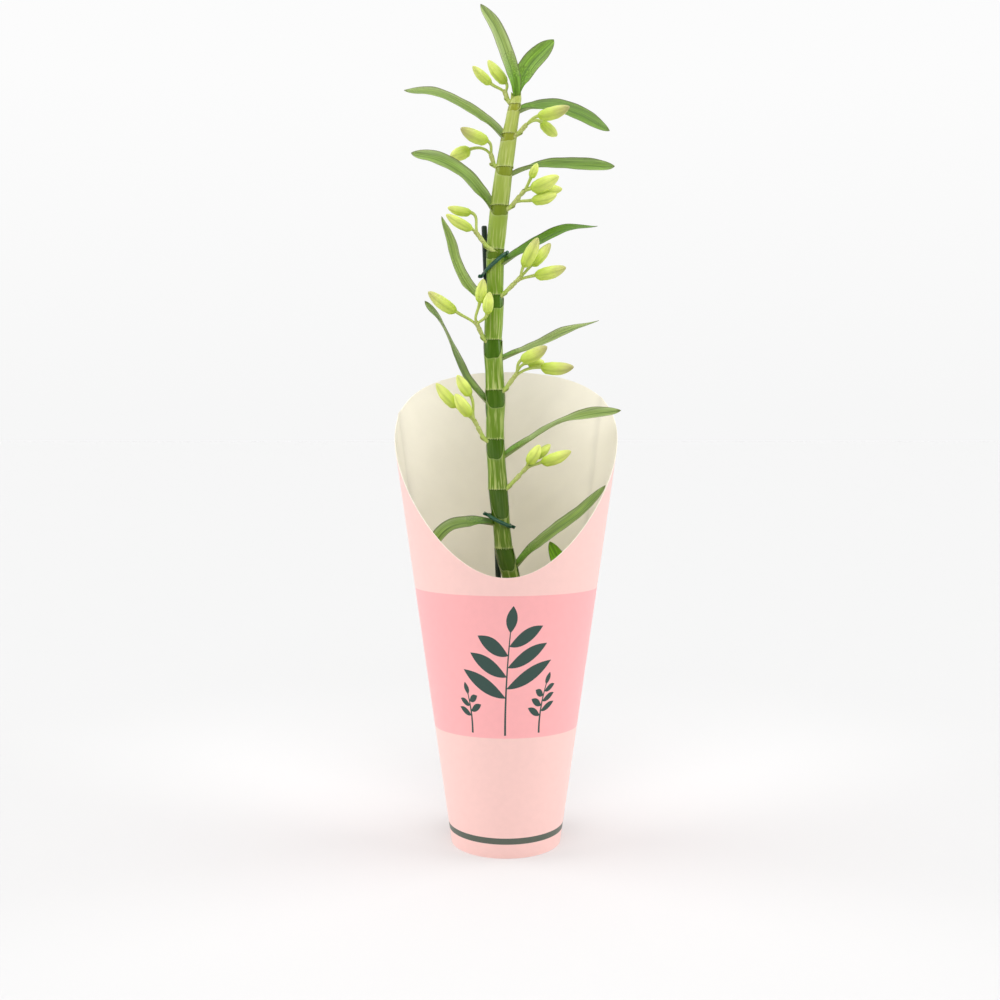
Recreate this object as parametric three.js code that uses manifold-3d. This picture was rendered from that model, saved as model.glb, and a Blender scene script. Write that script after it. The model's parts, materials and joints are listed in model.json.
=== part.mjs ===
// Noble dendrobium in bud: one cane tied to a stake, in a 12 cm grower's pot, inside a card sleeve.
// Millimetres, +Z up. The origin is on the table, on the axis of the sleeve; its low front faces -Y.
import * as THREE from "three";
import { mergeVertices } from "three/addons/utils/BufferGeometryUtils.js";
import Module from "manifold-3d";

const wasm = await Module();
wasm.setup();

// ---- Driving dimensions ----
const GAP = 0.3; // clearance between pieces that touch
const ROUND_SIDES = 48; // facets round the sleeve, pot and bark

const SLEEVE_BASE_RADIUS = 45; // outside, on the table
const SLEEVE_FLARE = 0.1373; // growth of the radius per mm of height
const CARD_THICKNESS = 0.6;
const RIM_MEAN_HEIGHT = 318.2; // the slanting cut of the sleeve's top edge
const RIM_SLANT = 79.6; // front lower, back higher by this much
const RIM_DISH = 10.2; // sides higher than a plain slanting cut

const POT_HEIGHT = 105;
const POT_BASE_RADIUS = 42;
const POT_WALL = 0.9;
const POT_LIP_HEIGHT = 11;
const POT_LIP_STEP = 2.6; // how far the lip stands out from the wall
const DRAIN_HOLES = 6;
const DRAIN_RADIUS = 4;
const DRAIN_CIRCLE = 27; // radius of the circle that the drain holes lie on
const DRAIN_SIDES = 12;
const CUT_EXCESS = 1; // a cutting body stands out of the piece that it cuts by at least this much

const BARK_TOP = 94;
const BARK_SHOULDER = { share: 0.55, rise: 1.6 }; // share of the top radius, height above the edge
const BARK_CROWN = 2; // the bark is heaped this much higher at the middle

const CANE_SIDES = 10;
const CANE_FOOT_HEIGHT = 84; // lower end of the cane, buried in the bark
const SHEATH_STEP = 0.3; // a leaf sheath stands proud of the bare cane by this much
const SHEATH_EDGE = 0.2; // half the height of that step

const CROWN_RADIUS = 12; // the woody crown that the roots grow from
const CROWN_FOOT_RADIUS = 6;
const CROWN_HEIGHT = 18;
const CROWN_WAIST = 8; // its widest level, below its top
const ROOT_COUNT = 6;
const ROOT_RADIUS = 1.8;
const ROOT_SIDES = 6;
const ROOT_STEPS = 5;
const ROOT_BEND = 0.7; // share of a root's reach at which it turns down
const ROOT_FIRST_ANGLE = THREE.MathUtils.degToRad(33); // keeps the stake between two roots
const ROOT_REACHES = [30, 33, 36]; // how far out the roots end, taken in turn
const ROOT_DEPTHS = [50, 59]; // how far below the crown's top they end, taken in turn

const STRAIGHT_STEPS = 1; // a straight rod needs no rings between its ends
const STAKE_RADIUS = 2.3;
const STAKE_SIDES = 10;
const STAKE_TOP = [-17.6, 8.2, 502];
const STAKE_FOOT = [1.8, 15.6, 12];
const TIE_RADIUS = 0.9;
const TIE_SLACK = 0.2; // the loops are this much looser than touching
const TIE_TAIL_RADIUS = 1.26; // the twisted ends are thicker than the single wire
const TIE_STEPS = 12; // points on each half of a tie's loop
const TIE_SIDES = 6;
const TIE_TAIL_SIDES = 8;

const LEAF_STEPS = 11;
const LEAF_FOLD = 0.28; // depth of the midrib below the edges, as a share of the half width
const LEAF_RIB_THICKNESS = 1.2;
const LEAF_EDGE_THICKNESS = 0.5;
const LEAF_TIP_HALF_WIDTH = 0.4;
const LEAF_WIDEST = 0.42; // share of the length at which a blade is widest
const LEAF_TAPER = { power: 4.6, root: 0.72 }; // how blunt the blade's outer part is

const STALK_RADIUS = 1.4;
const PEDICEL_RADIUS = 0.95;
const STALK_SIDES = 6;
const STALK_STEPS = 5;
const PEDICEL_STEPS = 4;
const PEDICEL_BEND = 0.4; // length of the curve's end tangents, as a share of its span
const PEDICEL_LAST = 0.98; // the outermost bud leaves the stalk this far along it
const BUD_SIDES = 8;
const BUD_PROFILE = [[0, 0.34], [0.1, 0.72], [0.32, 1], [0.58, 0.9], [0.82, 0.5], [1, 0.12]];

// Joints of the cane from the top down. The node line is at z; below it the cane is bare for the
// height of band. X and the radii at the foot and the head of the band, and of the sheath above it.
const CANE_JOINTS = [
  { z: 595.5, x: 6.9, band: 6, foot: 4.8, head: 4.3, sheath: 4 },
  { z: 572.5, x: 2.5, band: 6.5, foot: 6, head: 5.7, sheath: 5 },
  { z: 546.5, x: -1.4, band: 7.5, foot: 6.7, head: 6.6, sheath: 6.4 },
  { z: 516.5, x: -5.3, band: 8.5, foot: 7.1, head: 7.1, sheath: 7.1 },
  { z: 482, x: -8.7, band: 8, foot: 6.9, head: 6.8, sheath: 7.2 },
  { z: 446, x: -8.8, band: 10.5, foot: 7, head: 6.2, sheath: 6.6 },
  { z: 410.5, x: -10.6, band: 15, foot: 7.5, head: 6.8, sheath: 7.2 },
  { z: 370.5, x: -8.8, band: 14.5, foot: 7.9, head: 7.5, sheath: 7 },
  { z: 331, x: -8.9, band: 16, foot: 7.2, head: 7.1, sheath: 7 },
  { z: 290.5, x: -6.5, band: 23.5, foot: 7.3, head: 7.8, sheath: 7.1 },
  { z: 242.5, x: -1.9, band: 18, foot: 7.7, head: 7, sheath: 6.6 },
  { z: 202, x: 8.5, band: 15, foot: 7.8, head: 7.2, sheath: 7 },
  { z: 165, x: 12, band: 12, foot: 8, head: 7.5, sheath: 7.3 },
  { z: 132, x: 12.5, band: 10, foot: 8.2, head: 7.8, sheath: 7.6 },
  { z: 108, x: 12, band: 8, foot: 8.3, head: 8, sheath: 7.9 },
];
const CANE_TOP = { z: 600, x: 7.8, radius: 2.6 };

// Leaves from the top down. A spine runs from the cane to the tip; turn is the roll of the blade in
// degrees at each spine point: 0 faces the front, 90 lies with its edge to the front.
const LEAVES = [
  { spine: [[7.5, -1, 597], [6.2, -2.5, 616], [0.2, -4, 635], [-8, -6, 654], [-20, -10, 669.5]],
    width: 14, foot: 0.5, turn: [-25, -30, -30, -30, -30] },
  { spine: [[9, 3.5, 597], [10.5, 5.5, 614], [19, 6.5, 629], [29, 8, 639.5], [38, 10, 648.5]],
    width: 15.5, foot: 0.25, turn: [40, 35, 28, 28, 35] },
  { spine: [[6.6, 0, 588], [19, 2, 594.5], [36.5, 4, 596.5], [57, 4, 590.5], [82, 0, 575]],
    width: 17, foot: 0.45, turn: [65, 55, 42, 30, 35] },
  { spine: [[1.8, 0, 565], [-14.5, -2, 582.5], [-32, -4, 594], [-56, -8, 603.5], [-80, -10, 604]],
    width: 16, foot: 0.55, turn: [-50, -52, -52, -52, -55] },
  { spine: [[-6.4, 0, 505], [-19, -3, 526], [-32.5, -7, 541], [-54.5, -12, 552], [-74.5, -14, 555]],
    width: 17, foot: 0.5, turn: [-50, -50, -46, -42, -50] },
  { spine: [[-1.6, 0, 538], [17.5, 4, 548], [36, 8, 551.5], [61.5, 10, 551.5], [87, 8, 549]],
    width: 16, foot: 0.4, turn: [82, 76, 48, 39, 42] },
  { spine: [[-8.6, -1.5, 466], [9.5, 0.5, 480], [25.5, 5, 490], [48, 8, 500.5], [74, 12, 502.5]],
    width: 16, foot: 0.5, turn: [60, 60, 52, 54, 75] },
  { spine: [[-10.1, 0, 433], [-28.5, 0, 452], [-39, -3, 471.5], [-44, -6, 489], [-51, -8, 507]],
    width: 16, foot: 0.6, turn: [-50, -48, -50, -52, -66] },
  { spine: [[-9, 0, 353], [-28.5, 3, 376.5], [-39, 6, 397.5], [-50, 8, 423], [-65.5, 6, 442]],
    width: 14, foot: 0.5, turn: [-60, -60, -58, -84, -150] },
  { spine: [[-9.6, 0, 392], [10.5, 3, 402], [27.5, 7, 409], [48, 12, 419], [76, 20, 427.5]],
    width: 14, foot: 0.5, turn: [62, 72, 60, 50, 80] },
  { spine: [[-7.6, 0, 312], [11.5, 2, 326], [28.5, 4, 338], [43.8, 5, 346], [68, 3, 352], [92.7, 0, 354]],
    width: 16, foot: 0.5, turn: [68, 72, 78, 96, 134, 142] },
  { spine: [[-5, 0, 261], [-27.5, -4, 264.5], [-45, -10, 262], [-55.5, -14, 252.5], [-62.5, -16, 230]],
    width: 16, foot: 0.5, turn: [-68, -60, -54, -50, -50] },
  { spine: [[3.5, 0, 221], [22, 0, 243], [40, 0, 258], [61, 2, 273.5], [81, 6, 293]],
    width: 16, foot: 0.45, turn: [68, 64, 60, 60, 62] },
  { spine: [[11, 0, 151], [28, 4, 172], [41, 8, 196], [45, 9, 224], [36, 9, 246.5]],
    width: 16, foot: 0.5, turn: [40, 40, 42, 42, 40] },
];

// Flower stalks from the top down. A stalk runs from the cane along path; a bud leaves it at a share
// of its length and points from base to tip.
const FLOWER_STALKS = {
  a: { path: [[6, 0, 593], [2, 0, 598], [-0.5, 0, 603.5]],
    buds: [
      { at: 1, base: [-12, -2, 611], tip: [-26.5, -4, 624], radius: 3.9 },
      { at: 0.9, base: [0, 3, 613], tip: [-14.5, 5, 631], radius: 4.6 },
    ] },
  b: { path: [[2.5, -2, 568], [8.5, -3, 571.5], [14.5, -5, 577]],
    buds: [
      { at: 1, base: [25, -11, 584], tip: [49.5, -15, 590], radius: 5.1 },
      { at: 0.8, base: [28, 3, 582.5], tip: [41, 15, 574.5], radius: 4.4 },
    ] },
  c: { path: [[-2, 0, 544], [-9, 0, 548], [-11.5, -1, 554.5]],
    buds: [
      { at: 1, base: [-14.5, -5, 566], tip: [-36, -9, 575], radius: 5.2 },
      { at: 0.85, base: [-29, 6, 562], tip: [-45, 9, 556.5], radius: 5.4 },
    ] },
  d: { path: [[-4, -2, 511], [3, -2.5, 515], [13, -4, 526]],
    buds: [
      { at: 1, base: [19.5, -8, 528.5], tip: [41.5, -12, 537.5], radius: 5.5 },
      { at: 0.95, base: [21.5, 2, 531], tip: [45, 6, 530.5], radius: 4.9 },
      { at: 0.6, base: [20.5, -5, 520], tip: [40, -7, 524], radius: 4.6 },
      { at: 1, base: [19.5, -5, 537.5], tip: [24.5, -8.5, 548], radius: 3.3 },
    ] },
  e: { path: [[-7, -5, 479], [-14, -5.5, 483], [-23.5, -7, 494]],
    buds: [
      { at: 1, base: [-27, -8, 497], tip: [-47.5, -11, 508], radius: 4.2 },
      { at: 0.9, base: [-28, -2, 511], tip: [-46.5, -4, 514.5], radius: 3.9 },
    ] },
  f: { path: [[-8, -2, 442], [-3, -3, 446], [10, -7, 458]],
    buds: [
      { at: 1, base: [13.5, -10, 467.5], tip: [25, -14, 489.5], radius: 5.3 },
      { at: 0.95, base: [20, -2, 469.5], tip: [35.5, 0, 487], radius: 4.6 },
      { at: 0.85, base: [23, -7, 461], tip: [47.5, -9, 467], radius: 5.2 },
    ] },
  g: { path: [[-11, -2, 405], [-17, -3, 410.5], [-23.5, -6, 423]],
    buds: [
      { at: 0.8, base: [-40, -6, 432.5], tip: [-62, -8, 448], radius: 5.1 },
      { at: 1, base: [-21, -11, 439], tip: [-18, -14, 457.5], radius: 4.6 },
      { at: 0.9, base: [-15, -15, 430], tip: [-13, -18, 447], radius: 4.4 },
    ] },
  h: { path: [[-8, -2, 366], [-2, -3, 370], [7.5, -6, 382]],
    buds: [
      { at: 1, base: [12, -10, 394], tip: [32.5, -14, 404.5], radius: 5.4 },
      { at: 0.9, base: [17.5, 0, 392], tip: [31, 3, 392.5], radius: 4.4 },
      { at: 0.8, base: [28, -6, 388.5], tip: [54, -8, 388.5], radius: 5.4 },
    ] },
  i: { path: [[-9, -2, 326], [-17, -3, 331], [-25, -6, 345]],
    buds: [
      { at: 0.9, base: [-39.5, -6, 357], tip: [-56, -8, 375.5], radius: 4.8 },
      { at: 0.95, base: [-28, -12, 350], tip: [-40.5, -16, 367], radius: 5.2 },
      { at: 1, base: [-28.5, -9, 366], tip: [-39, -12, 382], radius: 4.6 },
    ] },
  j: { path: [[-6, -2, 285], [2, -3, 292.5], [16.5, -6, 308]],
    buds: [
      { at: 1, base: [17.5, -8.5, 311.5], tip: [27, -11, 326.5], radius: 4.8 },
      { at: 0.9, base: [28.5, -8, 312.5], tip: [52, -10, 321.5], radius: 5 },
      { at: 0.95, base: [23.5, 0, 316], tip: [36, 3, 326.5], radius: 3.8 },
    ] },
};

const FINISHES = {
  card: { color: 0xfdd7d2, roughness: 0.55 },
  potPlastic: { color: 0x2c2d2f, roughness: 0.5 },
  bark: { color: 0x6b4a33, roughness: 0.95 },
  root: { color: 0xcfc9b4, roughness: 0.8 },
  cane: { color: 0x7c9a4a, roughness: 0.5 },
  stake: { color: 0x1f4a3a, roughness: 0.45 },
  tie: { color: 0x174236, roughness: 0.4 },
  leaf: { color: 0x6f9a4f, roughness: 0.45 },
  stalk: { color: 0xb9cf8a, roughness: 0.6 },
  bud: { color: 0xd6e68c, roughness: 0.5 },
};

// ---- Solid helpers ----
function point([x, y, z]) {
  return new THREE.Vector3(x, y, z);
}

function bare(geometry) {
  const copy = geometry.clone();
  copy.deleteAttribute("normal");
  copy.deleteAttribute("uv");
  return mergeVertices(copy, 1e-4);
}

function toSolid(geometry) {
  const merged = bare(geometry);
  const vertProperties = new Float32Array(merged.attributes.position.array);
  const triVerts = new Uint32Array(merged.index.array);
  return new wasm.Manifold(new wasm.Mesh({ numProp: 3, vertProperties, triVerts }));
}

function toGeometry(solid) {
  const mesh = solid.getMesh();
  const geometry = new THREE.BufferGeometry();
  geometry.setAttribute("position", new THREE.BufferAttribute(new Float32Array(mesh.vertProperties), 3));
  geometry.setIndex(new THREE.BufferAttribute(new Uint32Array(mesh.triVerts), 1));
  return geometry;
}

function join(geometries) {
  return geometries.map(toSolid).reduce((total, solid) => total.add(solid));
}

// A closed skin over rings of points that all have the same count, its two ends closed by fans.
function loft(rings) {
  const sides = rings[0].length;
  const positions = [];
  const index = [];
  for (const ring of rings) {
    for (const corner of ring) {
      positions.push(corner.x, corner.y, corner.z);
    }
  }
  for (let row = 0; row < rings.length - 1; row += 1) {
    for (let side = 0; side < sides; side += 1) {
      const next = (side + 1) % sides;
      const low = row * sides;
      const high = low + sides;
      index.push(low + side, low + next, high + next);
      index.push(low + side, high + next, high + side);
    }
  }
  const firstCentre = positions.length / 3;
  for (const ring of [rings[0], rings[rings.length - 1]]) {
    const centre = new THREE.Vector3();
    for (const corner of ring) {
      centre.addScaledVector(corner, 1 / sides);
    }
    positions.push(centre.x, centre.y, centre.z);
  }
  const lastRow = (rings.length - 1) * sides;
  for (let side = 0; side < sides; side += 1) {
    const next = (side + 1) % sides;
    index.push(firstCentre, next, side);
    index.push(firstCentre + 1, lastRow + side, lastRow + next);
  }
  const geometry = new THREE.BufferGeometry();
  geometry.setAttribute("position", new THREE.Float32BufferAttribute(positions, 3));
  geometry.setIndex(index);
  return geometry;
}

function polygon(sides, radius) {
  const corners = [];
  for (let side = 0; side < sides; side += 1) {
    const angle = (side / sides) * Math.PI * 2;
    corners.push(new THREE.Vector2(radius * Math.cos(angle), radius * Math.sin(angle)));
  }
  return new THREE.Shape(corners);
}

function tube(curve, radius, sides, steps) {
  const options = { extrudePath: curve, steps, bevelEnabled: false };
  return new THREE.ExtrudeGeometry(polygon(sides, radius), options);
}

function levelRing(x, z, radius, sides) {
  const ring = [];
  for (let side = 0; side < sides; side += 1) {
    const angle = (side / sides) * Math.PI * 2;
    ring.push(new THREE.Vector3(x + radius * Math.cos(angle), radius * Math.sin(angle), z));
  }
  return ring;
}

// The value of a list at a share from 0 to 1 of its length, on straight lines between its entries.
function listAt(list, share) {
  const place = share * (list.length - 1);
  const low = Math.min(Math.floor(place), list.length - 2);
  return THREE.MathUtils.lerp(list[low], list[low + 1], place - low);
}

const plant = new THREE.Group();

function addPart(name, geometry, finish) {
  const finished = bare(geometry);
  finished.computeVertexNormals();
  const material = new THREE.MeshStandardMaterial({ ...finish, metalness: 0 });
  const mesh = new THREE.Mesh(finished, material);
  mesh.name = name;
  plant.add(mesh);
}

// ---- Card sleeve: one cone with a slanting, dished top edge ----
function sleeveRadius(z) {
  return SLEEVE_BASE_RADIUS + SLEEVE_FLARE * z;
}

// Angle 0 is the front, -Y; it grows towards +X.
function rimHeight(angle) {
  return RIM_MEAN_HEIGHT - RIM_SLANT * Math.cos(angle) - RIM_DISH * Math.cos(2 * angle);
}

function sleeveRing(inset, heightAt) {
  const ring = [];
  for (let side = 0; side < ROUND_SIDES; side += 1) {
    const angle = (side / ROUND_SIDES) * Math.PI * 2;
    const z = heightAt(angle);
    const radius = sleeveRadius(z) - inset;
    ring.push(new THREE.Vector3(radius * Math.sin(angle), -radius * Math.cos(angle), z));
  }
  return ring;
}

function makeSleeve() {
  const outer = loft([sleeveRing(0, () => 0), sleeveRing(0, rimHeight)]);
  const hollowBase = sleeveRing(CARD_THICKNESS, () => -CUT_EXCESS);
  const hollowTop = sleeveRing(CARD_THICKNESS, (angle) => rimHeight(angle) + CUT_EXCESS);
  return toGeometry(toSolid(outer).subtract(toSolid(loft([hollowBase, hollowTop]))));
}

addPart("sleeve", makeSleeve(), FINISHES.card);

// ---- Grower's pot: thin moulded plastic with a stepped lip and drain holes ----
const FACET_SHARE = Math.cos(Math.PI / ROUND_SIDES);
const potLipRadius = (sleeveRadius(POT_HEIGHT - POT_LIP_HEIGHT) - CARD_THICKNESS) * FACET_SHARE - GAP;
const potWallTopRadius = potLipRadius - POT_LIP_STEP;
const potWallTop = POT_HEIGHT - POT_LIP_HEIGHT;

function lathe(profile) {
  const outline = profile.map(([radius, z]) => new THREE.Vector2(radius, z));
  const geometry = new THREE.LatheGeometry(outline, ROUND_SIDES);
  geometry.rotateX(Math.PI / 2);
  return geometry;
}

function makePot() {
  const body = toSolid(lathe([
    [0, 0],
    [POT_BASE_RADIUS, 0],
    [potWallTopRadius, potWallTop],
    [potLipRadius, potWallTop],
    [potLipRadius + POT_WALL, POT_HEIGHT],
    [potLipRadius, POT_HEIGHT],
    [potLipRadius - POT_WALL, potWallTop + POT_WALL],
    [potWallTopRadius - POT_WALL, potWallTop + POT_WALL],
    [POT_BASE_RADIUS - POT_WALL, POT_WALL],
    [0, POT_WALL],
  ]));
  let pot = body;
  for (let hole = 0; hole < DRAIN_HOLES; hole += 1) {
    const angle = (hole / DRAIN_HOLES) * Math.PI * 2;
    const drillLength = 2 * (POT_WALL + CUT_EXCESS);
    const drill = new THREE.CylinderGeometry(DRAIN_RADIUS, DRAIN_RADIUS, drillLength, DRAIN_SIDES);
    drill.rotateX(Math.PI / 2);
    drill.translate(DRAIN_CIRCLE * Math.cos(angle), DRAIN_CIRCLE * Math.sin(angle), 0);
    pot = pot.subtract(toSolid(drill));
  }
  return toGeometry(pot);
}

addPart("pot", makePot(), FINISHES.potPlastic);

// ---- Cane: one jointed stem with its leaf sheaths ----
const caneFoot = CANE_JOINTS[CANE_JOINTS.length - 1];

function caneX(z) {
  const upper = CANE_JOINTS.findLast((joint) => joint.z >= z) ?? CANE_JOINTS[0];
  const lower = CANE_JOINTS[CANE_JOINTS.indexOf(upper) + 1] ?? upper;
  if (lower === upper) {
    return upper.x;
  }
  return THREE.MathUtils.mapLinear(z, lower.z, upper.z, lower.x, upper.x);
}

function makeCane(grow) {
  const ringAt = (z, radius) => levelRing(caneX(z), z, radius + grow, CANE_SIDES);
  const rings = [levelRing(caneFoot.x, CANE_FOOT_HEIGHT - grow, caneFoot.foot + grow, CANE_SIDES)];
  for (const joint of [...CANE_JOINTS].reverse()) {
    const mouth = joint.z - joint.band;
    rings.push(ringAt(mouth - SHEATH_EDGE, joint.foot + SHEATH_STEP));
    rings.push(ringAt(mouth + SHEATH_EDGE, joint.foot));
    rings.push(ringAt(joint.z - SHEATH_EDGE, joint.head));
    rings.push(ringAt(joint.z + SHEATH_EDGE, joint.head + SHEATH_STEP));
    const above = CANE_JOINTS[CANE_JOINTS.indexOf(joint) - 1];
    if (above) {
      rings.push(ringAt((joint.z + above.z - above.band) / 2, joint.sheath + SHEATH_STEP));
    }
  }
  rings.push(levelRing(CANE_TOP.x, CANE_TOP.z + grow, CANE_TOP.radius + grow, CANE_SIDES));
  return loft(rings);
}

addPart("cane", makeCane(0), FINISHES.cane);
const caneRoom = toSolid(makeCane(GAP));

// ---- Roots: a crown under the cane with fleshy roots spreading through the bark ----
function makeRoots(grow) {
  const top = CANE_FOOT_HEIGHT - GAP;
  const crown = loft([
    levelRing(caneFoot.x, top - CROWN_HEIGHT - grow, CROWN_FOOT_RADIUS + grow, CANE_SIDES),
    levelRing(caneFoot.x, top - CROWN_WAIST, CROWN_RADIUS + grow, CANE_SIDES),
    levelRing(caneFoot.x, top + grow, caneFoot.foot + grow, CANE_SIDES),
  ]);
  const pieces = [crown];
  for (let root = 0; root < ROOT_COUNT; root += 1) {
    const angle = ROOT_FIRST_ANGLE + (root / ROOT_COUNT) * Math.PI * 2;
    const reach = ROOT_REACHES[root % ROOT_REACHES.length];
    const depth = ROOT_DEPTHS[root % ROOT_DEPTHS.length];
    const outwards = new THREE.Vector3(Math.cos(angle), Math.sin(angle), 0);
    const start = new THREE.Vector3(caneFoot.x, 0, top - CROWN_WAIST);
    const bend = new THREE.Vector3(caneFoot.x / 2, 0, top - CROWN_HEIGHT);
    bend.addScaledVector(outwards, reach * ROOT_BEND);
    const end = new THREE.Vector3(0, 0, top - depth - grow).addScaledVector(outwards, reach);
    const curve = new THREE.QuadraticBezierCurve3(start, bend, end);
    pieces.push(tube(curve, ROOT_RADIUS + grow, ROOT_SIDES, ROOT_STEPS));
  }
  return join(pieces);
}

addPart("roots", toGeometry(makeRoots(0)), FINISHES.root);

// ---- Stake: a straight coated rod pushed into the bark behind the cane ----
function makeStake(grow) {
  const foot = point(STAKE_FOOT);
  const top = point(STAKE_TOP);
  const direction = top.clone().sub(foot).normalize();
  foot.addScaledVector(direction, -grow);
  return tube(new THREE.LineCurve3(foot, top), STAKE_RADIUS + grow, STAKE_SIDES, STRAIGHT_STEPS);
}

addPart("stake", makeStake(0), FINISHES.stake);

// ---- Bark: the potting mix, packed round the roots, the cane and the stake ----
function makeBark() {
  const floor = POT_WALL + GAP;
  const topRadius = (potWallTopRadius - POT_WALL) * FACET_SHARE - GAP;
  const baseRadius = (POT_BASE_RADIUS - POT_WALL) * FACET_SHARE - GAP;
  const share = BARK_TOP / potWallTop;
  const plug = toSolid(lathe([
    [0, floor],
    [baseRadius, floor],
    [baseRadius + (topRadius - baseRadius) * share, BARK_TOP],
    [topRadius * BARK_SHOULDER.share, BARK_TOP + BARK_SHOULDER.rise],
    [0, BARK_TOP + BARK_CROWN],
  ]));
  return plug.subtract(caneRoom).subtract(makeRoots(GAP)).subtract(toSolid(makeStake(GAP)));
}

addPart("bark_mix", toGeometry(makeBark()), FINISHES.bark);

// ---- Ties: coated wire looped round cane and stake, its ends twisted at the left ----
function stakeAt(z) {
  const share = (z - STAKE_FOOT[2]) / (STAKE_TOP[2] - STAKE_FOOT[2]);
  return point(STAKE_FOOT).lerp(point(STAKE_TOP), share);
}

// A belt round two circles: the point whose outward direction is the given angle in plan.
function beltPoint(circles, angle, heightAt) {
  const outward = new THREE.Vector2(Math.cos(angle), Math.sin(angle));
  const reach = (circle) => circle.centre.dot(outward) + circle.radius;
  const farthest = circles.reduce((best, circle) => (reach(circle) > reach(best) ? circle : best));
  const place = farthest.centre.clone().addScaledVector(outward, farthest.radius);
  return new THREE.Vector3(place.x, place.y, heightAt(place.x));
}

function makeTie({ cane, radius, leftZ, rightZ, tails }) {
  const clearance = GAP + TIE_RADIUS + TIE_SLACK;
  const stake = stakeAt((leftZ + rightZ) / 2);
  const circles = [
    { centre: new THREE.Vector2(cane, 0), radius: radius + SHEATH_STEP + clearance },
    { centre: new THREE.Vector2(stake.x, stake.y), radius: STAKE_RADIUS + clearance },
  ];
  const slope = (rightZ - leftZ) / (2 * circles[0].radius);
  const heightAt = (x) => (leftZ + rightZ) / 2 + slope * (x - cane);
  const halves = [Math.PI, 0].map((start) => {
    const points = [];
    for (let step = 0; step <= TIE_STEPS; step += 1) {
      points.push(beltPoint(circles, start + (step / TIE_STEPS) * Math.PI, heightAt));
    }
    return points;
  });
  const pieces = halves.map((points) => {
    return tube(new THREE.CatmullRomCurve3(points), TIE_RADIUS, TIE_SIDES, TIE_STEPS);
  });
  for (const [number, tail] of tails.entries()) {
    const seam = halves[number][0];
    const line = new THREE.LineCurve3(seam, point(tail));
    pieces.push(tube(line, TIE_TAIL_RADIUS, TIE_TAIL_SIDES, STRAIGHT_STEPS));
  }
  return toGeometry(join(pieces));
}

const TIES = {
  tie_upper: {
    cane: -8.5,
    radius: 6.9,
    leftZ: 464.5,
    rightZ: 479,
    tails: [[-21.5, 5, 461.5], [1.4, -1.8, 480]],
  },
  tie_lower: {
    cane: -5.3,
    radius: 8.1,
    leftZ: 269.5,
    rightZ: 260,
    tails: [[-18, -2, 271], [7, -1.5, 259]],
  },
};
for (const [name, tie] of Object.entries(TIES)) {
  addPart(name, makeTie(tie), FINISHES.tie);
}

// ---- Leaves: folded lance-shaped blades ----
// The width at a share of the length, as a share of the full width; foot is the width at the cane.
function leafWidthAt(share, foot) {
  if (share < LEAF_WIDEST) {
    return foot + (1 - foot) * Math.sin((share / LEAF_WIDEST) * (Math.PI / 2));
  }
  const outer = (share - LEAF_WIDEST) / (1 - LEAF_WIDEST);
  return Math.pow(1 - Math.pow(outer, LEAF_TAPER.power), LEAF_TAPER.root);
}

function makeLeaf({ spine, width, foot, turn }) {
  const curve = new THREE.CatmullRomCurve3(spine.map(point));
  const back = new THREE.Vector3(0, 1, 0);
  const rings = [];
  for (let step = 0; step <= LEAF_STEPS; step += 1) {
    const share = step / LEAF_STEPS;
    const centre = curve.getPoint(share);
    const along = curve.getTangent(share);
    const depth = back.clone().addScaledVector(along, -back.dot(along)).normalize();
    const inView = along.clone().cross(depth);
    const roll = THREE.MathUtils.degToRad(listAt(turn, share));
    const side = inView.multiplyScalar(Math.cos(roll)).addScaledVector(depth, Math.sin(roll));
    const face = along.clone().cross(side);
    const half = Math.max((width / 2) * leafWidthAt(share, foot), LEAF_TIP_HALF_WIDTH);
    const rise = half * LEAF_FOLD;
    const rib = Math.min(LEAF_RIB_THICKNESS, half) / 2;
    const edge = Math.min(LEAF_EDGE_THICKNESS, half) / 2;
    const corner = (across, up) => centre.clone().addScaledVector(side, across).addScaledVector(face, up);
    rings.push([
      corner(half, edge),
      corner(0, rib - rise),
      corner(-half, edge),
      corner(-half, -edge),
      corner(0, -rib - rise),
      corner(half, -edge),
    ]);
  }
  return toGeometry(toSolid(loft(rings)).subtract(caneRoom));
}

LEAVES.forEach((leaf, number) => {
  const name = `leaf_${String(number + 1).padStart(2, "0")}`;
  addPart(name, makeLeaf(leaf), FINISHES.leaf);
});

// ---- Flower stalks and buds ----
function makeBud({ base, tip, radius }) {
  const axis = point(tip).sub(point(base));
  const length = axis.length();
  axis.normalize();
  const sideways = new THREE.Vector3(0, 1, 0).cross(axis).normalize();
  const upwards = axis.clone().cross(sideways);
  const rings = BUD_PROFILE.map(([share, size]) => {
    const centre = point(base).addScaledVector(axis, share * length);
    const ring = [];
    for (let side = 0; side < BUD_SIDES; side += 1) {
      const angle = (side / BUD_SIDES) * Math.PI * 2;
      const out = sideways.clone().multiplyScalar(Math.cos(angle)).addScaledVector(upwards, Math.sin(angle));
      ring.push(centre.clone().addScaledVector(out, radius * size));
    }
    return ring;
  });
  return loft(rings);
}

function makeStalk({ path, buds }) {
  const stem = new THREE.CatmullRomCurve3(path.map(point));
  const pieces = [tube(stem, STALK_RADIUS, STALK_SIDES, STALK_STEPS)];
  for (const bud of buds) {
    const axis = point(bud.tip).sub(point(bud.base)).normalize();
    const start = stem.getPoint(Math.min(bud.at, PEDICEL_LAST));
    const end = point(bud.base).addScaledVector(axis, -GAP);
    const reach = start.distanceTo(end) * PEDICEL_BEND;
    const leave = start.clone().addScaledVector(stem.getTangent(bud.at), reach);
    const arrive = end.clone().addScaledVector(axis, -reach);
    const curve = new THREE.CubicBezierCurve3(start, leave, arrive, end);
    pieces.push(tube(curve, PEDICEL_RADIUS, STALK_SIDES, PEDICEL_STEPS));
  }
  return toGeometry(join(pieces).subtract(caneRoom));
}

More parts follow.
